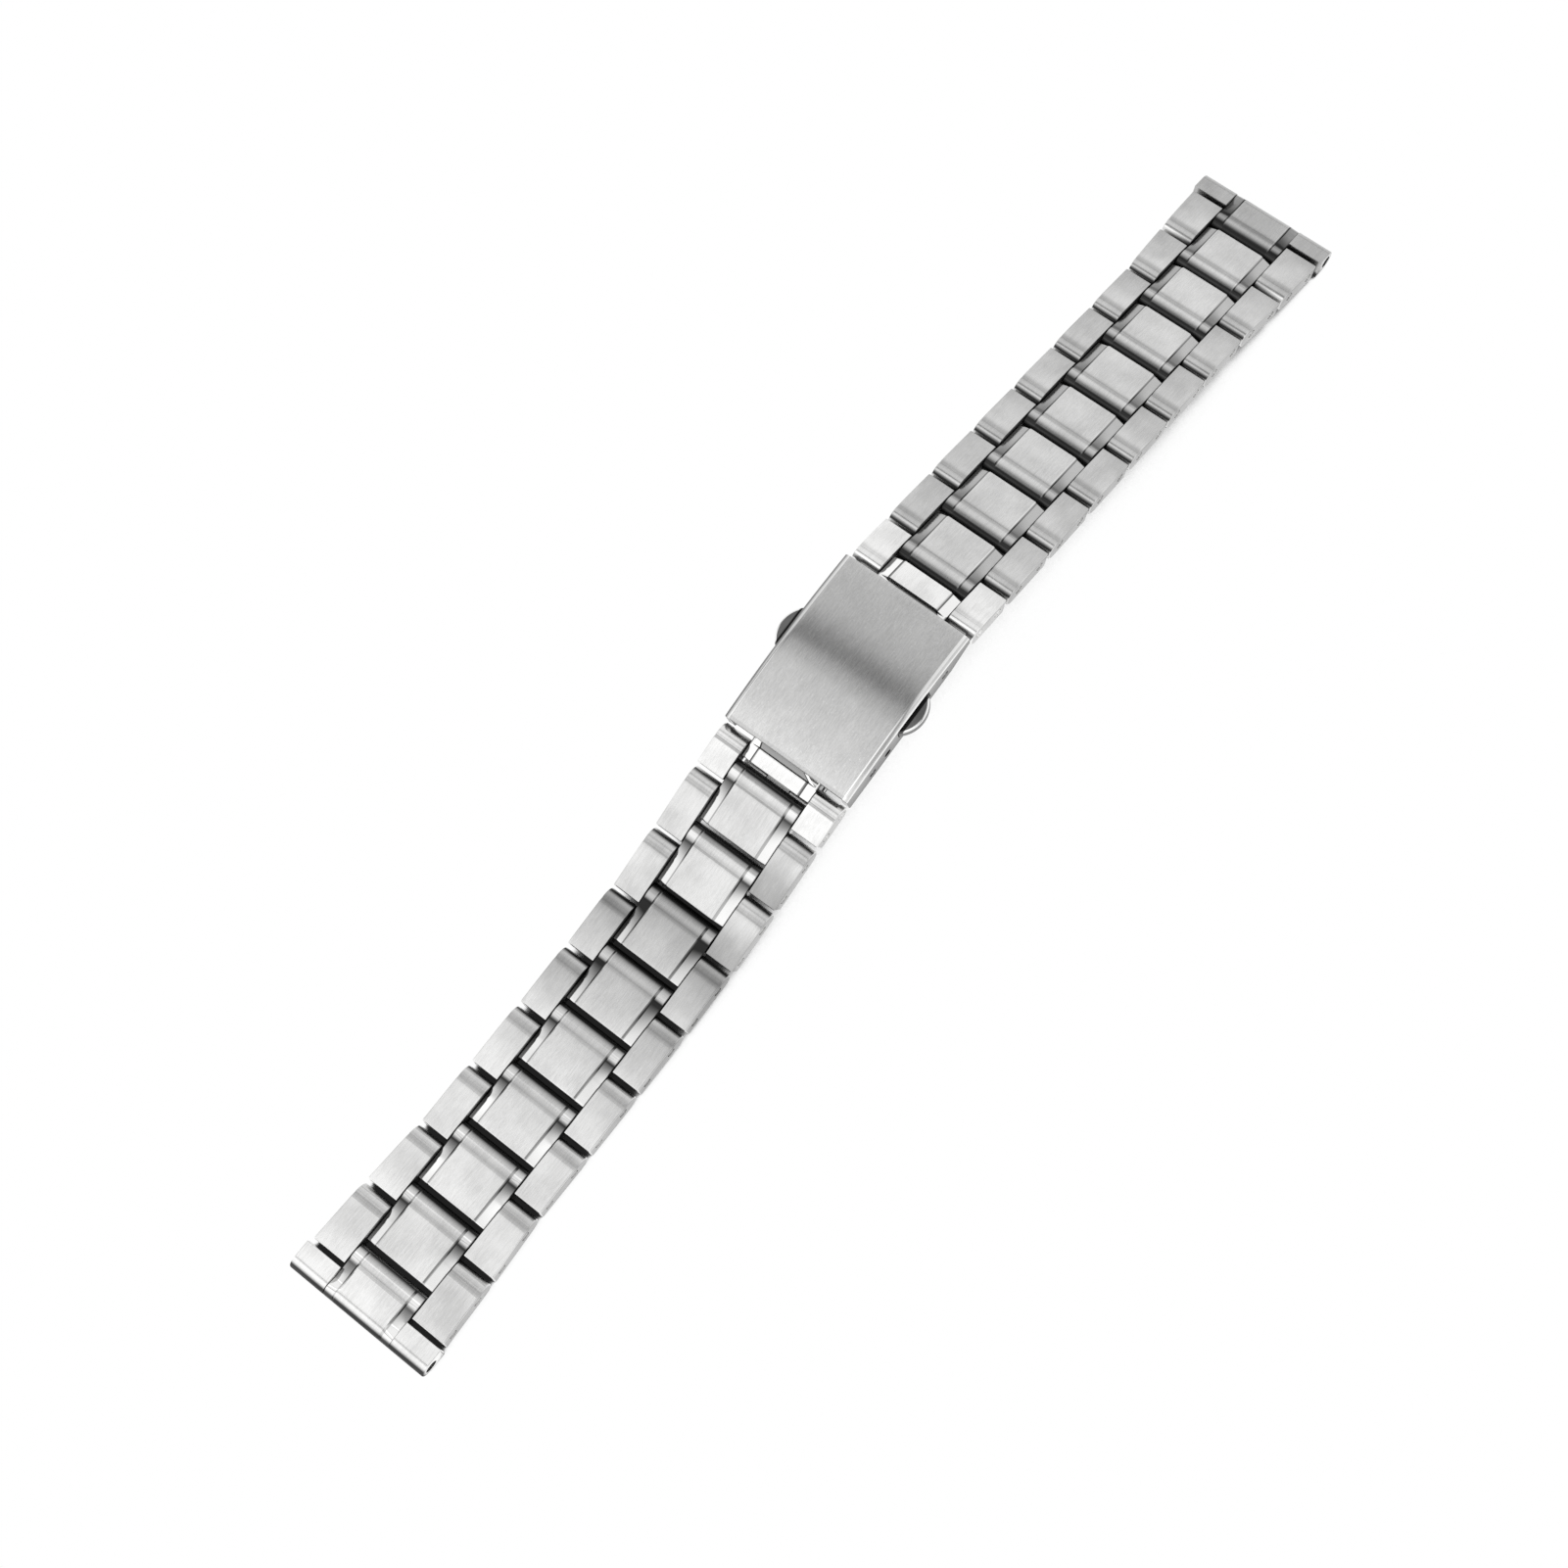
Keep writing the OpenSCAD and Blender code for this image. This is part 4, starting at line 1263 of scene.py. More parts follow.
    def clasp_end(self, half: Half) -> tuple[Shell, Tone]:
        """The centre piece of the row beside the clasp, with its neck and barrel.

        Args:
            half: the strap's half.

        Returns:
            The shell, pad 0, strips and barrel 1, and its tone.
        """
        s, i, w, c = self.sizes, half.index, self.sizes.centre_w / 2, self.block_edge
        start, length = self.first_start[i], self.first_len[i] - 2 * s.reach - s.gap
        top = LinkTop(roll=0.2, valley=0.22, dip=0.0, shoulder=0.1, crown_fall=0.06, corner=0.15,
                      roll_drop=0.02)
        form = StripForm(s, begins=-9.0)
        block = self.centre_block(start, length, top, form)
        r, bore, b = self.barrel_r, self.barrel_bore[i], self.barrel_len[i] / 2
        block.lathe([(-b, r - c), (-b + c, r), (b - c, r), (b, r - c)], finish=1)
        far, high, corner = start + self.neck_in, s.half_t - self.neck_drop, self.neck_corner
        neck = arc((far, corner - r), corner, corner, 270, 360, steps=3)
        neck += arc((far, high - corner), corner, corner, 0, 90, steps=3)
        neck += [(0.0, high), (0.0, -r)]
        block.loft(slab(neck, -w, w, (c, c)), 1, 1)
        block.cut(Shell().lathe([(-THROUGH, bore), (THROUGH, bore)]), overlapping=True)
        # Painted shade on the clasp end link's lines, and the painted brightness of its row
        return block, Tone(top, start, length, drop=form, painted_brightness=self.painted_brightness(half, s.rows), valley=0.0,
                           steps=self.clasp_steps, foot=self.clasp_foot, seam=(w - self.line_w, w),
                           seam_tone=self.clasp_foot)

    def end_block(self, top: LinkTop, form: StripForm) -> Shell:
        """The T-shaped end piece: its tongue with pad and strips, and its two wings.

        Args:
            top: the tongue's lengthwise form, with a round nose.
            form: how far its strips lie below the pad.

        Returns:
            The shell, pad and wings 0, strips and ends 1.
        """
        s = self.sizes
        block = self.centre_block(-s.reach, s.end_far + s.reach, top, form)
        wing_top = LinkTop(roll=0.12, valley=0.14, dip=0.0, shoulder=0.1, crown_fall=0.02, corner=top.corner,
                           roll_drop=0.02)
        outline = wing_top.outline(s.side_start, s.wing_len, s.half_t)
        inner = s.centre_w / 2 + self.wing_gap
        wings = Shell().loft(slab(outline, inner, s.lug_w / 2, self.wing_edges), 0, 1)
        block.add(wings.mirrored())
        drill = Shell().lathe([(-THROUGH, s.bore_r), (THROUGH, s.bore_r)], y=s.end_far - s.half_t, sides=40)
        return block.cut(drill)

    def painted_brightness(self, half: Half, k: int) -> float:
        """The painted brightness of row k, which is painted shade below 0."""
        return dict(self.painted_brightness_rows[half.index]).get(k, 0.0)

    def shift(self, half: Half, k: int) -> float:
        """How far the streaks of row k's side links are moved along."""
        return self.row_shift * k + self.half_shift * half.index

    def centre_tone(self, half: Half, k: int, top: LinkTop, form: StripForm, length: float) -> Tone:
        """The painted shade and brightness of a centre link or of an end piece's tongue.

        Args:
            half: the strap's half.
            k: the row, 0 for the end piece.
            top: the link's lengthwise form.
            form: the form of its strips.
            length: its length.

        Returns:
            The tone.
        """
        i, w = half.index, self.sizes.centre_w / 2
        steep = half is Half.SIX and k >= self.steep_rows
        longer = self.long_wedge if half is Half.SIX and k in self.long_wedges else 1
        end = {"open_end": self.end_open, "rim": self.end_rim[i], "seam_tone": self.end_seam[i],
               "gap": self.end_gap}
        # Painted shade in the gaps, valley and lines, and painted brightness outwards
        return Tone(top, -self.sizes.reach, length, drop=form, painted_brightness=self.painted_brightness(half, k),
                    gain=0.0 if steep else self.pad_gain[i], roll_shade=0.8, wedge=self.wedge[i],
                    strip=self.strip[i], wedge_len=self.wedge_len[i] * longer,
                    steps=(self.left_step[i], self.right_step), foot=self.foot[i],
                    seam=(w - self.line_w, w + self.seam_over), **({} if k else end))

    def build(self) -> None:
        """Builds every row of both halves, and their end pieces."""
        s, f = self.sizes, self.finishes
        knee = s.flare * s.flare_share
        # Rows 2 and 1 flare towards the wings, and all others are like row 3
        flares = {3: (0.0, 0.0), 2: (0.0, knee), 1: (knee, s.flare)}
        pairs = {k: self.side_pair(s.side_start, s.link_len, flare) for k, flare in flares.items()}
        form = StripForm(s)
        centre = self.centre_block(-s.reach, s.link_len, self.top, form)
        nose = LinkTop(corner=s.half_t - 0.02, crown_fall=0.02)
        end_form = StripForm(s, fades=s.end_far - 1.6 * s.half_t)
        end = self.end_block(nose, end_form)
        for half in Half:
            self.first_row(half)
            for k in range(s.rows - 1, 0, -1):
                tone = self.centre_tone(half, k, self.top, form, s.link_len)
                shift = self.shift(half, k) + self.centre_shift
                name = f"centre_link_{half.value}_row{k}"
                self.place_link(centre, name, half, k, (f.pads, f.strips), shift, tone)
                self.place_sides(pairs[min(k, 3)], half, k, s.side_start, s.link_len)
            tone = self.centre_tone(half, 0, nose, end_form, s.end_far + s.reach)
            shift = self.end_shift[half.index]
            self.place_link(end, f"end_piece_{half.value}", half, 0, (f.pads, f.strips), shift, tone)

    def first_row(self, half: Half) -> None:
        """Builds the row beside the clasp.

        Args:
            half: the strap's half.
        """
        k, f = self.sizes.rows, self.finishes
        start, length = self.first_start[half.index], self.first_len[half.index]
        shell, tone = self.clasp_end(half)
        shift = self.shift(half, k) + self.centre_shift
        self.place_link(shell, f"clasp_end_link_{half.value}", half, k, (f.pads, f.strips), shift, tone)
        self.place_sides(self.side_pair(start, length, (0.0, 0.0)), half, k, start, length)

    def place_sides(self, pair: Shell, half: Half, k: int, start: float, length: float) -> None:
        """Places a row's two side links with their painted shade and brightness.

        Args:
            pair: their shell.
            half: the strap's half.
            k: the row.
            start: distance of their clasp-side ends from the hinge.
            length: their length.
        """
        s, f, six = self.sizes, self.finishes, half is Half.SIX
        steep = six and k >= self.steep_rows
        valley, valley_len = self.side_valley
        outer = s.strap_w / 2 - self.margin
        # Painted shade in the side links' gaps and valley, and painted brightness outwards
        tone = Tone(self.side_top, start, length, wall_x=outer, pin_x=outer - s.pin_inset - self.pin_show,
                    painted_brightness=self.painted_brightness(half, k), gain=0.0 if steep else self.side_gain[half.index],
                    lean=self.lean_6[steep] if six and k < s.rows else 0.0, valley=valley,
                    valley_len=valley_len, seam=(0.0, s.centre_w / 2 + s.side_gap + self.margin))
        name = f"side_links_{half.value}_row{k}"
        self.place_link(pair, name, half, k, (f.links, f.sides, f.pins), self.shift(half, k), tone)

    def place_link(self, shell: Shell, name: str, half: Half, k: int, finishes: Sequence[bpy.types.Material],
                   shift: float, tone: Tone) -> None:
        """Makes a link's piece and lets it stand for its CAD node.

        Args:
            shell: its mesh.
            name: its CAD node.
            half: the strap's half.
            k: its row, 0 for the end piece.
            finishes: its materials, in the order of the face finishes.
            shift: how far its streaks are moved along.
            tone: its tone.
        """
        body = f"row_{half.value}_{k}" if k else f"end_{half.value}"
        made = shell.piece(f"{name}_dressed", self.reader.row(half, k), finishes, shift, tone=tone)
        keep(made, body, Slot.LINKS, name)


# The clasp


@dataclass(frozen=True)
class CoverSizes:
    """Sizes of the clasp cover, in millimetres, in the clasp's frame."""

    length: float = 21.5
    width: float = 16.2
    top_t: float = 0.8
    wall_t: float = 0.9
    arch_r: float = 70.0
    crown_r: float = 96.0
    bevel: float = 0.6
    bevel_fall: float = 0.48
    bevel_lift: float = 0.05
    shoulder_shares: Point = (0.2, 0.6)
    bulge: float = 0.04
    wall_depth: float = 4.3
    wall_rise: float = 0.5
    wall_end_depth: float = 2.7
    taper_y: float = 7.3
    crest_y: float = 0.9
    hole_y: Point = (-6.45, -3.85)
    hole_depth: float = 2.9
    hole_r: float = 0.48
    pin_y: float = 6.3
    pin_depth: float = 2.4
    pin_hole_r: float = 0.52
    slot_half: float = 2.77
    slot_low: float = 2.82
    slot_high: float = 1.08
    slot_corner: float = 0.2


def fall(r: float, x: float) -> float:
    """How far a circle of radius r has fallen at a distance x from its top."""
    return r - math.sqrt(r * r - x * x)


@dataclass
class Cover:
    """The clasp cover, an arched and crowned channel.

    Attributes:
        sizes, finishes, place: its sizes, its finishes and the clasp's frame.
        edge: rounding of its two ends.
        crown_steps, under_steps, length_steps: how many parts it has across its top, across its underside
            and along.
        left_line: painted shade of the line along its left edge.
        wall_shade, wall_ramp: painted shade at its walls' foot, and the depth at which it begins and grows.
    """

    sizes: CoverSizes
    finishes: Finishes
    place: Place
    edge: float = 0.1
    crown_steps: int = 28
    under_steps: int = 12
    length_steps: int = 44
    left_line: float = 0.8
    wall_shade: float = 0.35
    wall_ramp: Point = (1.2, 2.0)

    def section(self, y: float) -> list[tuple[float, float, CoverFace]]:
        """The cover cut across at y.

        Args:
            y: the place along the clasp.

        Returns:
            Points (x, z, kind of the face that starts there), anticlockwise.
        """
        c, face, low = self.sizes, CoverFace, self.wall_low(y)
        w, inner, shoulder = c.width / 2, c.width / 2 - c.wall_t, c.width / 2 - c.bevel

        def level(over: float) -> float:
            """Height at y of the line that lies that far over the crest's circle."""
            return math.sqrt((c.arch_r + over) ** 2 - (y - c.crest_y) ** 2) - c.arch_r

        foot = (w, level(c.bevel_lift - fall(c.crown_r, w) - c.bevel_fall))
        crest = (shoulder, level(-fall(c.crown_r, shoulder)))
        turns = [foot]
        for share in c.shoulder_shares:
            bulge = 4 * c.bulge * share * (1 - share)
            turns.append(tuple(a + (b - a) * share + bulge for a, b in zip(foot, crest)))
        lines = (face.LINE, face.SHOULDER, face.LINE)
        xs = [shoulder - 2 * shoulder * i / self.crown_steps for i in range(self.crown_steps)]
        under = [inner * (2 * i / self.under_steps - 1) for i in range(self.under_steps + 1)]
        points = [(inner, low, face.WALL), (w, low, face.WALL)]
        points += [(x, z, line) for (x, z), line in zip(turns, lines)]
        points += [(x, level(-fall(c.crown_r, x)), face.TOP) for x in xs]
        points += [(-x, z, line) for (x, z), line in zip([crest] + turns[:0:-1], lines)]
        points += [(-w, foot[1], face.WALL), (-w, low, face.WALL), (-inner, low, face.INSIDE)]
        points += [(x, level(-c.top_t - fall(c.crown_r - c.top_t, x)), face.INSIDE) for x in under]
        return points

    def wall_low(self, y: float) -> float:
        """Height of the walls' lower edge, which rises slowly and then tapers.

        Args:
            y: the place along the clasp.

        Returns:
            The height.
        """
        c, e = self.sizes, self.sizes.length / 2
        if y < c.taper_y:
            return -c.wall_depth + c.wall_rise * (y + e) / (c.taper_y + e)
        share = (y - c.taper_y) / (e - c.taper_y)
        return (c.wall_rise - c.wall_depth) * (1 - share) - c.wall_end_depth * share

    def build(self) -> None:
        """Builds the cover with its slots and holes."""
        c, f = self.sizes, self.finishes
        e, edge = c.length / 2, rounding(self.edge)
        ys = [-e + c.length * i / self.length_steps for i in range(1, self.length_steps)] + [c.taper_y]
        finish_of = [kind for _, _, kind in self.section(0)]
        rings = []
        for y, depth in rounded_span(e, edge, edge, sorted(ys)):
            flat = inset([(x, z) for x, z, _ in self.section(y)], depth)
            rings.append([Vector((x, y, z)) for x, z in flat])
        shell = Shell().loft(rings, lambda i, j: finish_of[j], CoverFace.LINE)
        tools = Shell().loft(self.slot_rings())
        holes = [(c.hole_r, y, -c.hole_depth) for y in c.hole_y] + [(c.pin_hole_r, c.pin_y, -c.pin_depth)]
        for r, y, z in holes:
            tools.lathe([(-THROUGH, r), (THROUGH, r)], y=y, z=z, sides=28)
        shell.cut(tools)
        finishes = (f.cover, f.bevels, f.walls, f.inside, f.shoulders)
        made = shell.piece("clasp_cover_dressed", self.place, finishes, shift=5.0, sharp=30, tone=self.tone)
        keep(made, "clasp", Slot.COVER, "clasp_cover")

    def tone(self, spot: Vector) -> float:
        """Painted shade along the left edge and towards the foot of the walls.

        Args:
            spot: the point in the clasp's frame.

        Returns:
            The tone.
        """
        c = self.sizes
        left = self.left_line * ramp(-spot.x, (c.width / 2 - c.bevel, c.bevel))
        return left + self.wall_shade * ramp(-spot.z, self.wall_ramp)

    def slot_rings(self) -> list[Ring]:
        """The tool that cuts both button slots, with rounded corners.

        Returns:
            Its two rings.
        """
        c = self.sizes
        y, z, r = c.slot_half - c.slot_corner, (c.slot_low - c.slot_high) / 2 - c.slot_corner, c.slot_corner
        middle = (c.slot_low + c.slot_high) / 2
        outline = []
        for way_y, way_z, turn in ((1, -1, 270), (1, 1, 0), (-1, 1, 90), (-1, -1, 180)):
            outline += arc((way_y * y, way_z * z), r, r, turn, turn + 90, steps=4)
        return [[Vector((x, c.crest_y + u, v - middle)) for u, v in outline] for x in (-THROUGH, THROUGH)]


@dataclass
class Buttons:
    """The two push buttons: a bow-shaped head, a guide, an arm and its jaw.

    Sizes are in millimetres, in the clasp's frame.

    Attributes:
        finishes, place: the finishes and the clasp's frame.
        crest_y, depth: the middle of the heads.
        length, out, height, wall_x: size of a head and where it leaves the wall.
        guide_x, guide_t: where the guide begins, and its thickness.
        rim, foot_rim, under_rim: rounding of the head's upper and lower edge, and the width of the painted
            dark line under the upper one.
        arm_*, jaw_*, neck_r: the arm, its jaw, and the neck that the jaw holds.
        root_lines: rings of points where a head leaves the wall. root, root_shade: how far out the painted
            shade there reaches, and its strength. side_shade: painted shade on the lower part of a head's
            side.
    """

    finishes: Finishes
    place: Place
    crest_y: float = 0.9
    length: float = 5.3
    out: float = 1.25
    height: float = 1.5
    depth: float = 1.95
    wall_x: float = 8.1
    guide_x: float = 7.0
    guide_t: float = 1.0
    rim: float = 0.2
    foot_rim: float = 0.12
    under_rim: float = 0.06
    arm_y: float = 1.6
    arm_half: float = 0.45
    arm_edge: float = 0.08
    arm_lap: float = 0.1
    jaw_h: float = 0.7
    jaw_x: float = 0.75
    jaw_t: float = 0.85
    neck_r: float = 0.55
    root_lines: tuple[float, ...] = (8.2, 8.42, 8.5)
    root: float = 8.43
    root_shade: float = 0.9
    side_shade: float = 0.85

    def head_plan(self) -> list[Point]:
        """The head and guide seen from above, anticlockwise, on the left side.

        Returns:
            The outline, with the head's middle at y = 0.
        """
        half = self.length / 2
        bow = (half**2 + self.out**2) / (2 * self.out)
        middle = -self.wall_x - self.out + bow
        turn = math.degrees(math.asin(half / bow))
        plan = arc((middle, 0), bow, bow, 180 - turn, 180 + turn, steps=22)
        inner = self.guide_t - self.guide_x
        return without_doubles(plan + [(inner, -half), (inner, half)])

    def arm_plan(self) -> list[Point]:
        """The arm and its jaw seen from above, anticlockwise, on the left side.

        Returns:
            The outline.
        """
        start, tip = self.arm_lap - self.guide_x, self.jaw_x + self.jaw_t
        near, far = self.arm_y - self.arm_half, self.arm_y + self.arm_half
        return [(start, near), (self.jaw_x, near), (self.jaw_x, -self.neck_r), (tip, -self.neck_r),
                (tip, far), (start, far)]

    def build(self) -> None:
        """Builds both buttons."""
        f = self.finishes
        finishes = (f.button_tops, f.button_rims, f.inside)
        for side, turn in (("left", 1), ("right", -1)):
            name = f"push_button_{side}"
            made = self.one(turn).piece(f"{name}_dressed", self.place, finishes, 14.0 * turn, tone=self.tone)
            keep(made, f"button_{side}", Slot.BUTTONS, name)

    def one(self, turn: int) -> Shell:
        """One button.

        Args:
            turn: 1 for the left one, -1 for the right one, which is turned half round.

        Returns:
            The shell, top 0, rim 1, inner parts 2.
        """
        shell = Shell()
        half, under = self.height / 2, self.height / 2 - self.rim - self.under_rim
        levels = rounded_span(half, rounding(self.foot_rim), rounding(self.rim, 4), (under,))
        self.stack(shell, self.head_plan(), levels, turn, 1, 0)
        edge = rounding(self.arm_edge)
        self.stack(shell, self.arm_plan(), rounded_span(self.jaw_h / 2, edge, edge), turn, 2, 2)
        for x in self.root_lines:
            shell.split(-turn * x)
        return shell

    def tone(self, spot: Vector) -> float:
        """Painted shade where a button comes out of the cover's wall and on the lower part of its side.

        Args:
            spot: the point in the clasp's frame.

        Returns:
            The tone.
        """
        if abs(spot.x) < self.root:
            return self.root_shade
        side_top = self.height / 2 - self.rim - self.under_rim / 2
        return self.side_shade if spot.z + self.depth < side_top else 0.0

    def stack(self, shell: Shell, plan: Sequence[Point], levels: Sequence[Point], turn: int, finish: int,
              cap: int) -> None:
        """Adds a plate with rounded edges to the shell.

        Args:
            shell: the shell.
            plan: the plate seen from above.
            levels: pairs of (level, inset).
            turn: as in one().
            finish: the finish of its sides.
            cap: the finish of its two faces.
        """
        rings = []
        for z, depth in levels:
            flat = inset(plan, depth)
            rings.append([Vector((turn * x, self.crest_y + turn * y, z - self.depth)) for x, y in flat])
        shell.loft(rings, finish, cap)


@dataclass(frozen=True)
class Coil:
    """A wound spring along X, in the clasp's frame, in millimetres.

    Its fixed end is at x = seat, and its joint pushes the other end by the travel; it is built at rest and
    does not shorten here.
    """

    name: str
    node: str
    joint: str
    start: float
    length: float
    y: float
    z: float
    radius: float
    wire: float
    turns: int
    seat: float
    travel: float
    round_steps: int = 24
    wire_sides: int = 10

    def build(self, finish: bpy.types.Material, place: Place) -> None:
        """Winds the spring as one tube.

        Args:
            finish: its material.
            place: the clasp's frame.
        """
        rings, steps = [], self.round_steps * self.turns
        rise = self.length - 2 * self.wire
        for i in range(steps + 1):
            a = 2 * math.pi * i / self.round_steps
            ring = []
            for j in range(self.wire_sides):
                b = 2 * math.pi * j / self.wire_sides
                reach = self.radius + self.wire * math.cos(b)
                x = self.start + self.wire + rise * i / steps + self.wire * math.sin(b)
                ring.append(Vector((x, self.y + reach * math.cos(a), self.z + reach * math.sin(a))))
            rings.append(ring)
        made = Shell().loft(rings, 0, 0).piece(f"{self.name}_dressed", place, (finish,))
        keep(made, "clasp", Slot.SPRINGS, self.node)
        fixed = place.matrix() @ Vector((self.seat, self.y, self.z))
        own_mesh(made)


@dataclass
class Springs:
    """The two button springs and the two halves of the spring bar's coil.

    Sizes are in millimetres, in the clasp's frame.

    Attributes:
        finish, place: the wire's material and the clasp's frame.
        button_*: the left and the right button spring's place along, and what both share. The seat is the
            distance of their fixed ends from the middle.
        bar_*: the coil's halves, which meet in the middle.
    """

    finish: bpy.types.Material
    place: Place
    button_y: Point = (-0.7, 2.5)
    button_z: float = -1.95
    button_seat: float = 3.72
    button_len: float = 2.26
    button_r: float = 0.39
    button_wire: float = 0.11
    button_turns: int = 4
    button_travel: float = 0.8
    bar_y: float = -6.45
    bar_z: float = -2.9
    bar_len: float = 5.98
    bar_r: float = 0.37
    bar_wire: float = 0.09
    bar_turns: int = 6
    bar_travel: float = 0.85

    def build(self) -> None:
        """Winds the four springs."""
        ways = (("left", -1), ("right", 1))
        for (side, way), y in zip(ways, self.button_y):
            name, seat = f"button_spring_{side}", way * self.button_seat
            start = min(seat, seat + way * self.button_len)
            Coil(name, name, f"{side}_button_press", start, self.button_len, y, self.button_z, self.button_r,
                 self.button_wire, self.button_turns, seat, self.button_travel).build(self.finish, self.place)
        for side, way in ways:
            name, joint = f"spring_bar_coil_{side}", f"spring_bar_tip_{side}_push"
            start = min(0.0, way * self.bar_len)
            Coil(name, "spring_bar_coil", joint, start, self.bar_len, self.bar_y, self.bar_z, self.bar_r,
                 self.bar_wire, self.bar_turns, 0.0, self.bar_travel).build(self.finish, self.place)


@dataclass
class SmallParts:
    """Dresses the CAD nodes whose shapes stay: blades, pins, screws, post and spring bar.

    Attributes:
        nodes, finishes: the CAD nodes by name, and the finishes.
        blades, turned: the nodes of either finish.
        soft_w, soft_steps, soft_angle: width and parts of their softened edges, and the angle in degrees
            above which an edge is softened.
    """

    nodes: dict
    finishes: Finishes
    blades: tuple[str, ...] = ("blade_short", "blade_long", "latch_housing")
    turned: tuple[str, ...] = (
        "housing_screws", "cover_hinge_pin", "fold_hinge_pin", "strap_pin", "catch_post", "spring_bar_tube",
        "spring_bar_tip_left", "spring_bar_tip_right")
    soft_w: float = 0.05
    soft_steps: int = 2
    soft_angle: float = 40

    def dress(self) -> None:
        """Gives each node its finish and softened edges."""
        for names, finish in ((self.blades, self.finishes.cad_blades), (self.turned, self.finishes.cad_pins)):
            for name in names:
                node = self.nodes[name]
                node.data.materials.clear()
                node.data.materials.append(finish)
                soften = node.modifiers.new("soft_edges", "BEVEL")
                soften.width, soften.segments = self.soft_w * MM, self.soft_steps
                soften.limit_method, soften.angle_limit = "ANGLE", math.radians(self.soft_angle)
                LOG.info("%s keeps its CAD shape", name)


# Stage, light and camera


@dataclass(frozen=True)
class SoftBox:
    """A flat soft light over the strap, with its reach along Y in millimetres and its brightness."""

    name: str
    near: float
    far: float
    glow: float
    left: float = -450.0
    right: float = 250.0
    height: float = 301.0

    def build(self) -> None:
        """Hangs the light, face down."""
        data = bpy.data.lights.new(self.name, "AREA")
        data.shape = "RECTANGLE"
        data.size, data.size_y = (self.right - self.left) * MM, (self.far - self.near) * MM
        data.energy = self.glow * math.pi * data.size * data.size_y
        made = bpy.data.objects.new(self.name, data)
        made.location = Vector(((self.left + self.right) / 2, (self.near + self.far) / 2, self.height)) * MM
        bpy.context.scene.collection.objects.link(made)


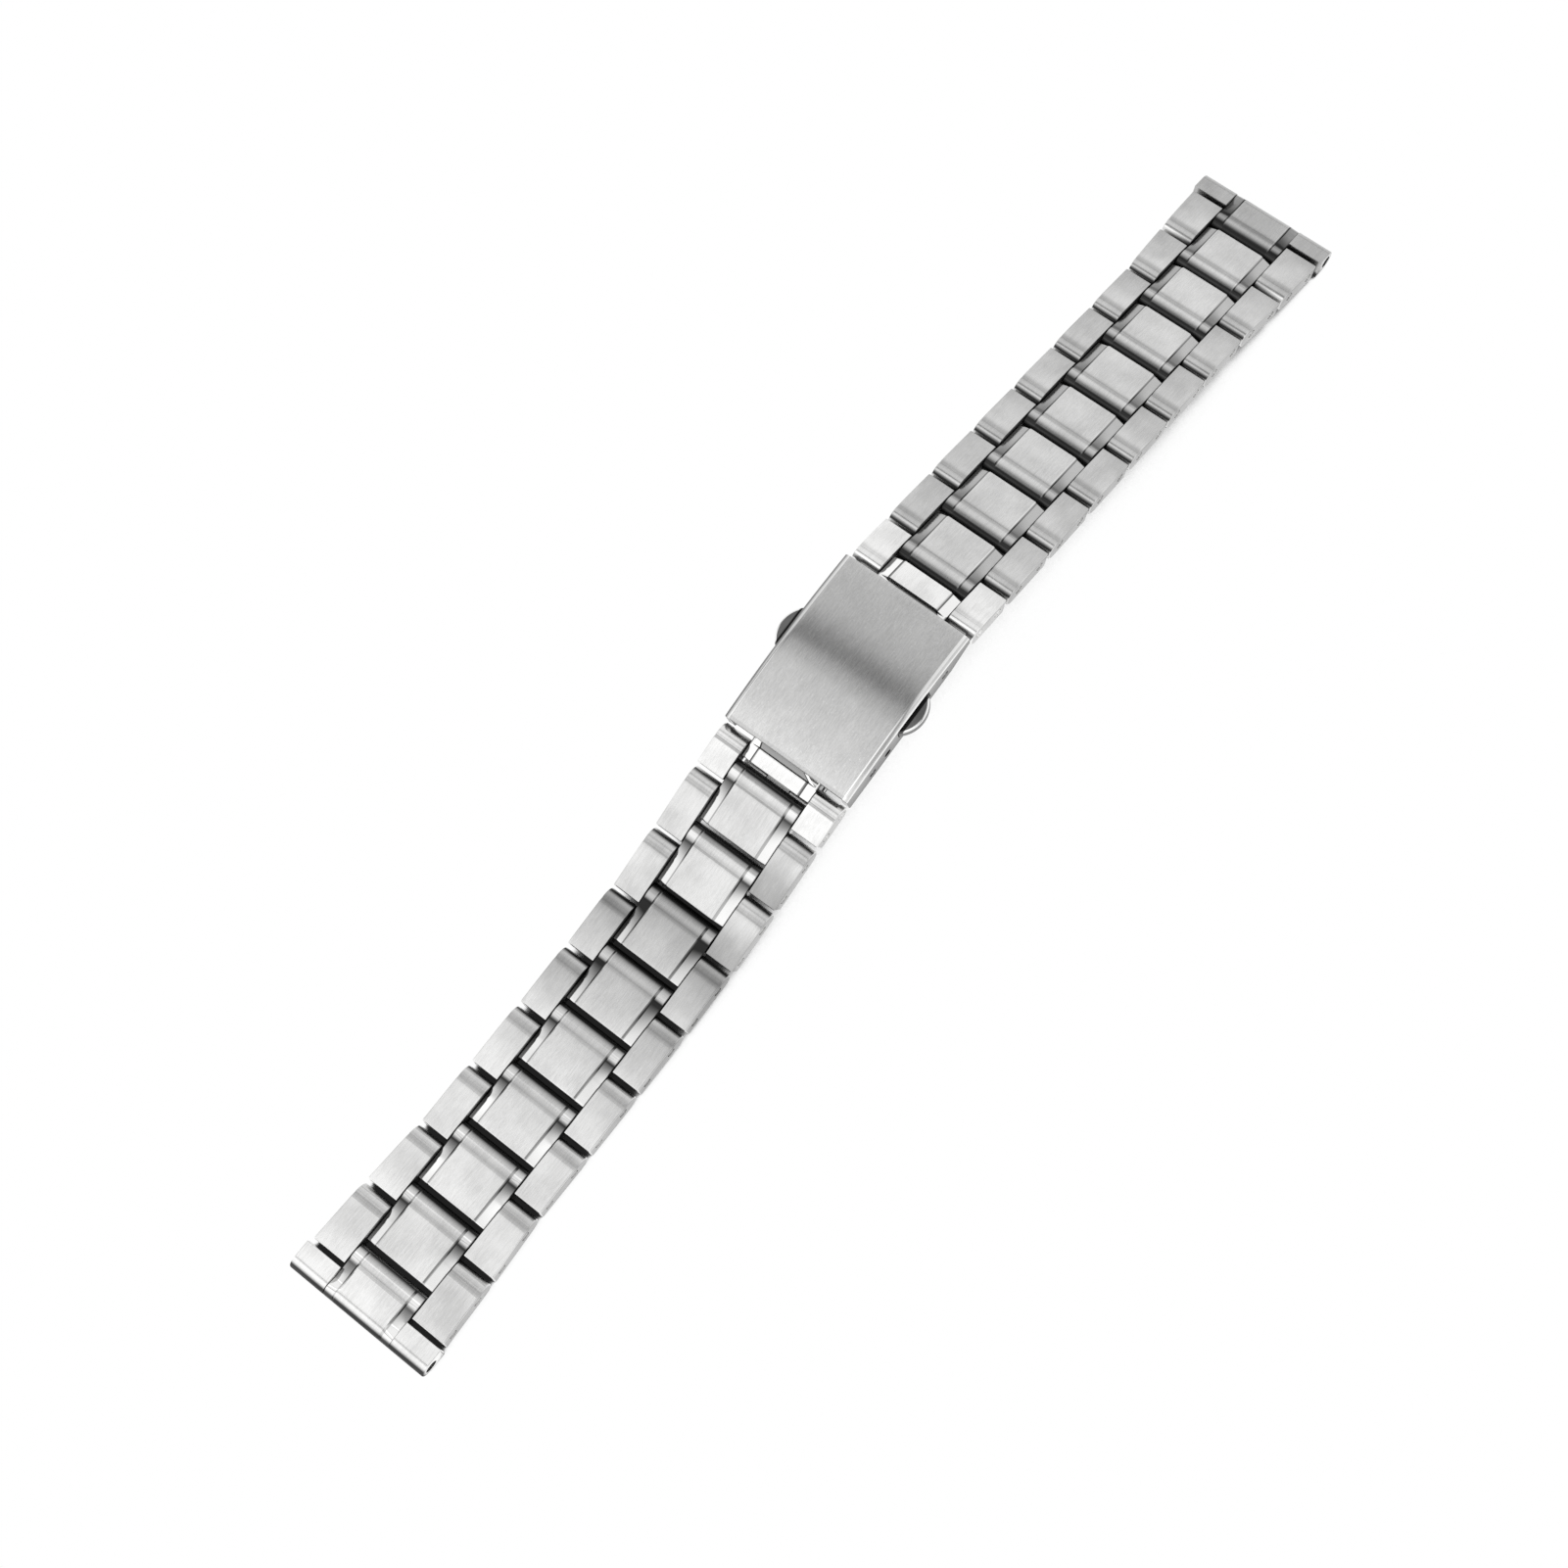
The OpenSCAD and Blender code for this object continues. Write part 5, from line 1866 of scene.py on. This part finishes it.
@dataclass(frozen=True)
class Studio:
    """The white stage, the sky of soft light and the photograph's camera.

    Attributes:
        camera_mm, camera_turn: the camera's place in millimetres and its turn round X, Y and Z in degrees.
        focal_px, frame_px: its focal length and the picture's width, both in pixels of the photograph.
        sensor_mm, clip_m: its sensor's width, and the nearest and farthest distance that it sees.
        glow: (angle in degrees, brightness) pairs round the X axis, from straight up towards +Y.
        brightest: the sky's strength, over which its brightness is divided.
        overhead: the rise of a ray between which the white round the horizon gives way to the glow.
        boxes: the soft boxes.
        floor_half, floor_gap, paper: half the floor's width and how far it lies under the bracelet, in
            millimetres, and the grey that it gives back as light.
        shade_reach, open_span, shade_left: how far off, in millimetres, the bracelet shades the floor, the
            openness at which the shade is full and at which it ends, and the light left in it.
    """

    camera_mm: tuple[float, float, float] = (57.541, -79.771, 241.451)
    camera_turn: tuple[float, float, float] = (20.724, 0.925, 37.892)
    focal_px: float = 2393.21
    frame_px: float = 1601.0
    sensor_mm: float = 36.0
    clip_m: Point = (0.01, 10.0)
    glow: tuple[Point, ...] = (
        (-180, 1.0), (-90, 1.0), (-60, 0.95), (-40, 1.1), (-30, 1.12), (-24, 0.74), (-18, 0.5), (-12, 0.42),
        (-8, 0.4), (-5, 0.36), (-3.2, 0.24), (-1.8, 0.24), (0, 0.46), (2, 0.66), (4.5, 0.76), (8, 0.79),
        (14, 0.82), (20, 0.86), (28, 0.9), (45, 0.9), (52, 0.92), (57, 1.02), (61, 1.02), (67, 0.7),
        (73, 0.4), (80, 0.5), (88, 1.0), (180, 1.0))
    brightest: float = 1.3
    overhead: Point = (0.12, 0.4)
    boxes: tuple[SoftBox, ...] = (
        SoftBox("soft_box_main", -160.0, -42.0, 0.56), SoftBox("soft_box_edge", -42.0, -23.0, 0.33))
    floor_half: float = 900.0
    floor_gap: float = 0.02
    paper: float = 0.8
    shade_reach: float = 30.0
    open_span: Point = (0.3, 0.52)
    shade_left: float = 0.015

    def build(self) -> None:
        """Builds the camera, the sky, the soft boxes and the floor."""
        self.camera()
        self.sky()
        for box in self.boxes:
            box.build()
        self.floor()
        bpy.context.scene.view_settings.view_transform = "Standard"

    def camera(self) -> None:
        """The camera at the photograph's viewing angle."""
        data = bpy.data.cameras.new("photo_camera")
        data.sensor_width = self.sensor_mm
        data.lens = self.focal_px / self.frame_px * data.sensor_width
        data.clip_start, data.clip_end = self.clip_m
        made = bpy.data.objects.new("photo_camera", data)
        turn = Euler([math.radians(angle) for angle in self.camera_turn]).to_matrix().to_4x4()
        made.matrix_world = Matrix.Translation(Vector(self.camera_mm) * MM) @ turn
        bpy.context.scene.collection.objects.link(made)
        bpy.context.scene.camera = made

    def sky(self) -> None:
        """A studio sky: white round the horizon and behind the object, graded overhead."""
        world = bpy.data.worlds.new("studio_sky")
        world.use_nodes = True
        world.node_tree.nodes.clear()
        bpy.context.scene.world = world
        bench = NodeBench(world.node_tree)
        way = bench.node("ShaderNodeTexCoord").outputs["Generated"]
        apart = bench.node("ShaderNodeSeparateXYZ", {0: way})
        angle = bench.math("ARCTAN2", apart.outputs[1], apart.outputs[2])
        graded = bench.node("ShaderNodeValToRGB", {0: bench.math("MULTIPLY_ADD", angle, 0.5 / math.pi, 0.5)})
        stops = graded.color_ramp.elements
        while len(stops) > 1:
            stops.remove(stops[-1])
        for i, (turn, value) in enumerate(self.glow):
            stop = stops[0] if i == 0 else stops.new((turn + 180) / 360)
            stop.position = (turn + 180) / 360
            stop.color = (value / self.brightest,) * 3 + (1,)
        mixed = bench.node("ShaderNodeMix", {
            "Factor": bench.spread(apart.outputs[2], self.overhead, interpolation="SMOOTHSTEP"),
            "A": (1 / self.brightest,) * 3 + (1,),
            "B": graded.outputs[0]}, data_type="RGBA")
        glow = bench.node("ShaderNodeBackground", {
            "Strength": self.brightest,
            "Color": mixed.outputs["Result"]})
        white = bench.node("ShaderNodeBackground", {"Color": (1, 1, 1, 1)})
        seen = bench.node("ShaderNodeLightPath").outputs["Is Camera Ray"]
        both = bench.node("ShaderNodeMixShader", {0: seen, 1: glow.outputs[0], 2: white.outputs[0]})
        bench.node("ShaderNodeOutputWorld", {"Surface": both.outputs[0]})

    def floor(self) -> None:
        """A white floor that keeps the object's contact shadow."""
        low, r = CAD_BOUNDS[0].z - self.floor_gap * MM, self.floor_half * MM
        data = bpy.data.meshes.new("white_floor")
        data.from_pydata([(-r, -r, low), (r, -r, low), (r, r, low), (-r, r, low)], [], [(0, 1, 2, 3)])
        made = bpy.data.objects.new("white_floor", data)
        bpy.context.scene.collection.objects.link(made)
        material = bpy.data.materials.new("white_paper")
        material.use_nodes = True
        material.node_tree.nodes.clear()
        bench = NodeBench(material.node_tree)
        reach = {"Distance": self.shade_reach * MM}
        openness = bench.node("ShaderNodeAmbientOcclusion", reach, samples=16).outputs["AO"]
        shade = bench.spread(openness, self.open_span, self.shade_left, "SMOOTHSTEP")
        shown = bench.node("ShaderNodeEmission", {"Color": shade})
        lit = bench.node("ShaderNodeBsdfDiffuse", {"Color": (self.paper,) * 3 + (1,)})
        rays = bench.node("ShaderNodeLightPath").outputs
        seen = bench.math("MAXIMUM", rays["Is Camera Ray"], rays["Is Glossy Ray"])
        seen = bench.math("MAXIMUM", seen, rays["Is Transmission Ray"])
        both = bench.node("ShaderNodeMixShader", {0: seen, 1: lit.outputs[0], 2: shown.outputs[0]})
        bench.node("ShaderNodeOutputMaterial", {"Surface": both.outputs[0]})
        data.materials.append(material)


def main() -> None:
    """Builds the bracelet's pieces, then the studio."""
    logging.basicConfig(level=logging.INFO, format="%(name)s: %(message)s")
    reader = FrameReader(frame)
    finishes = Finishes()
    clasp = reader.clasp(ClaspLandmarks())
    Links(LinkSizes(), finishes, reader).build()
    Cover(CoverSizes(), finishes, clasp).build()
    Buttons(finishes, clasp).build()
    Springs(finishes.springs, clasp).build()
    SmallParts(frame["nodes"], finishes).dress()
    Studio().build()


if __name__ == "__main__":
    main()
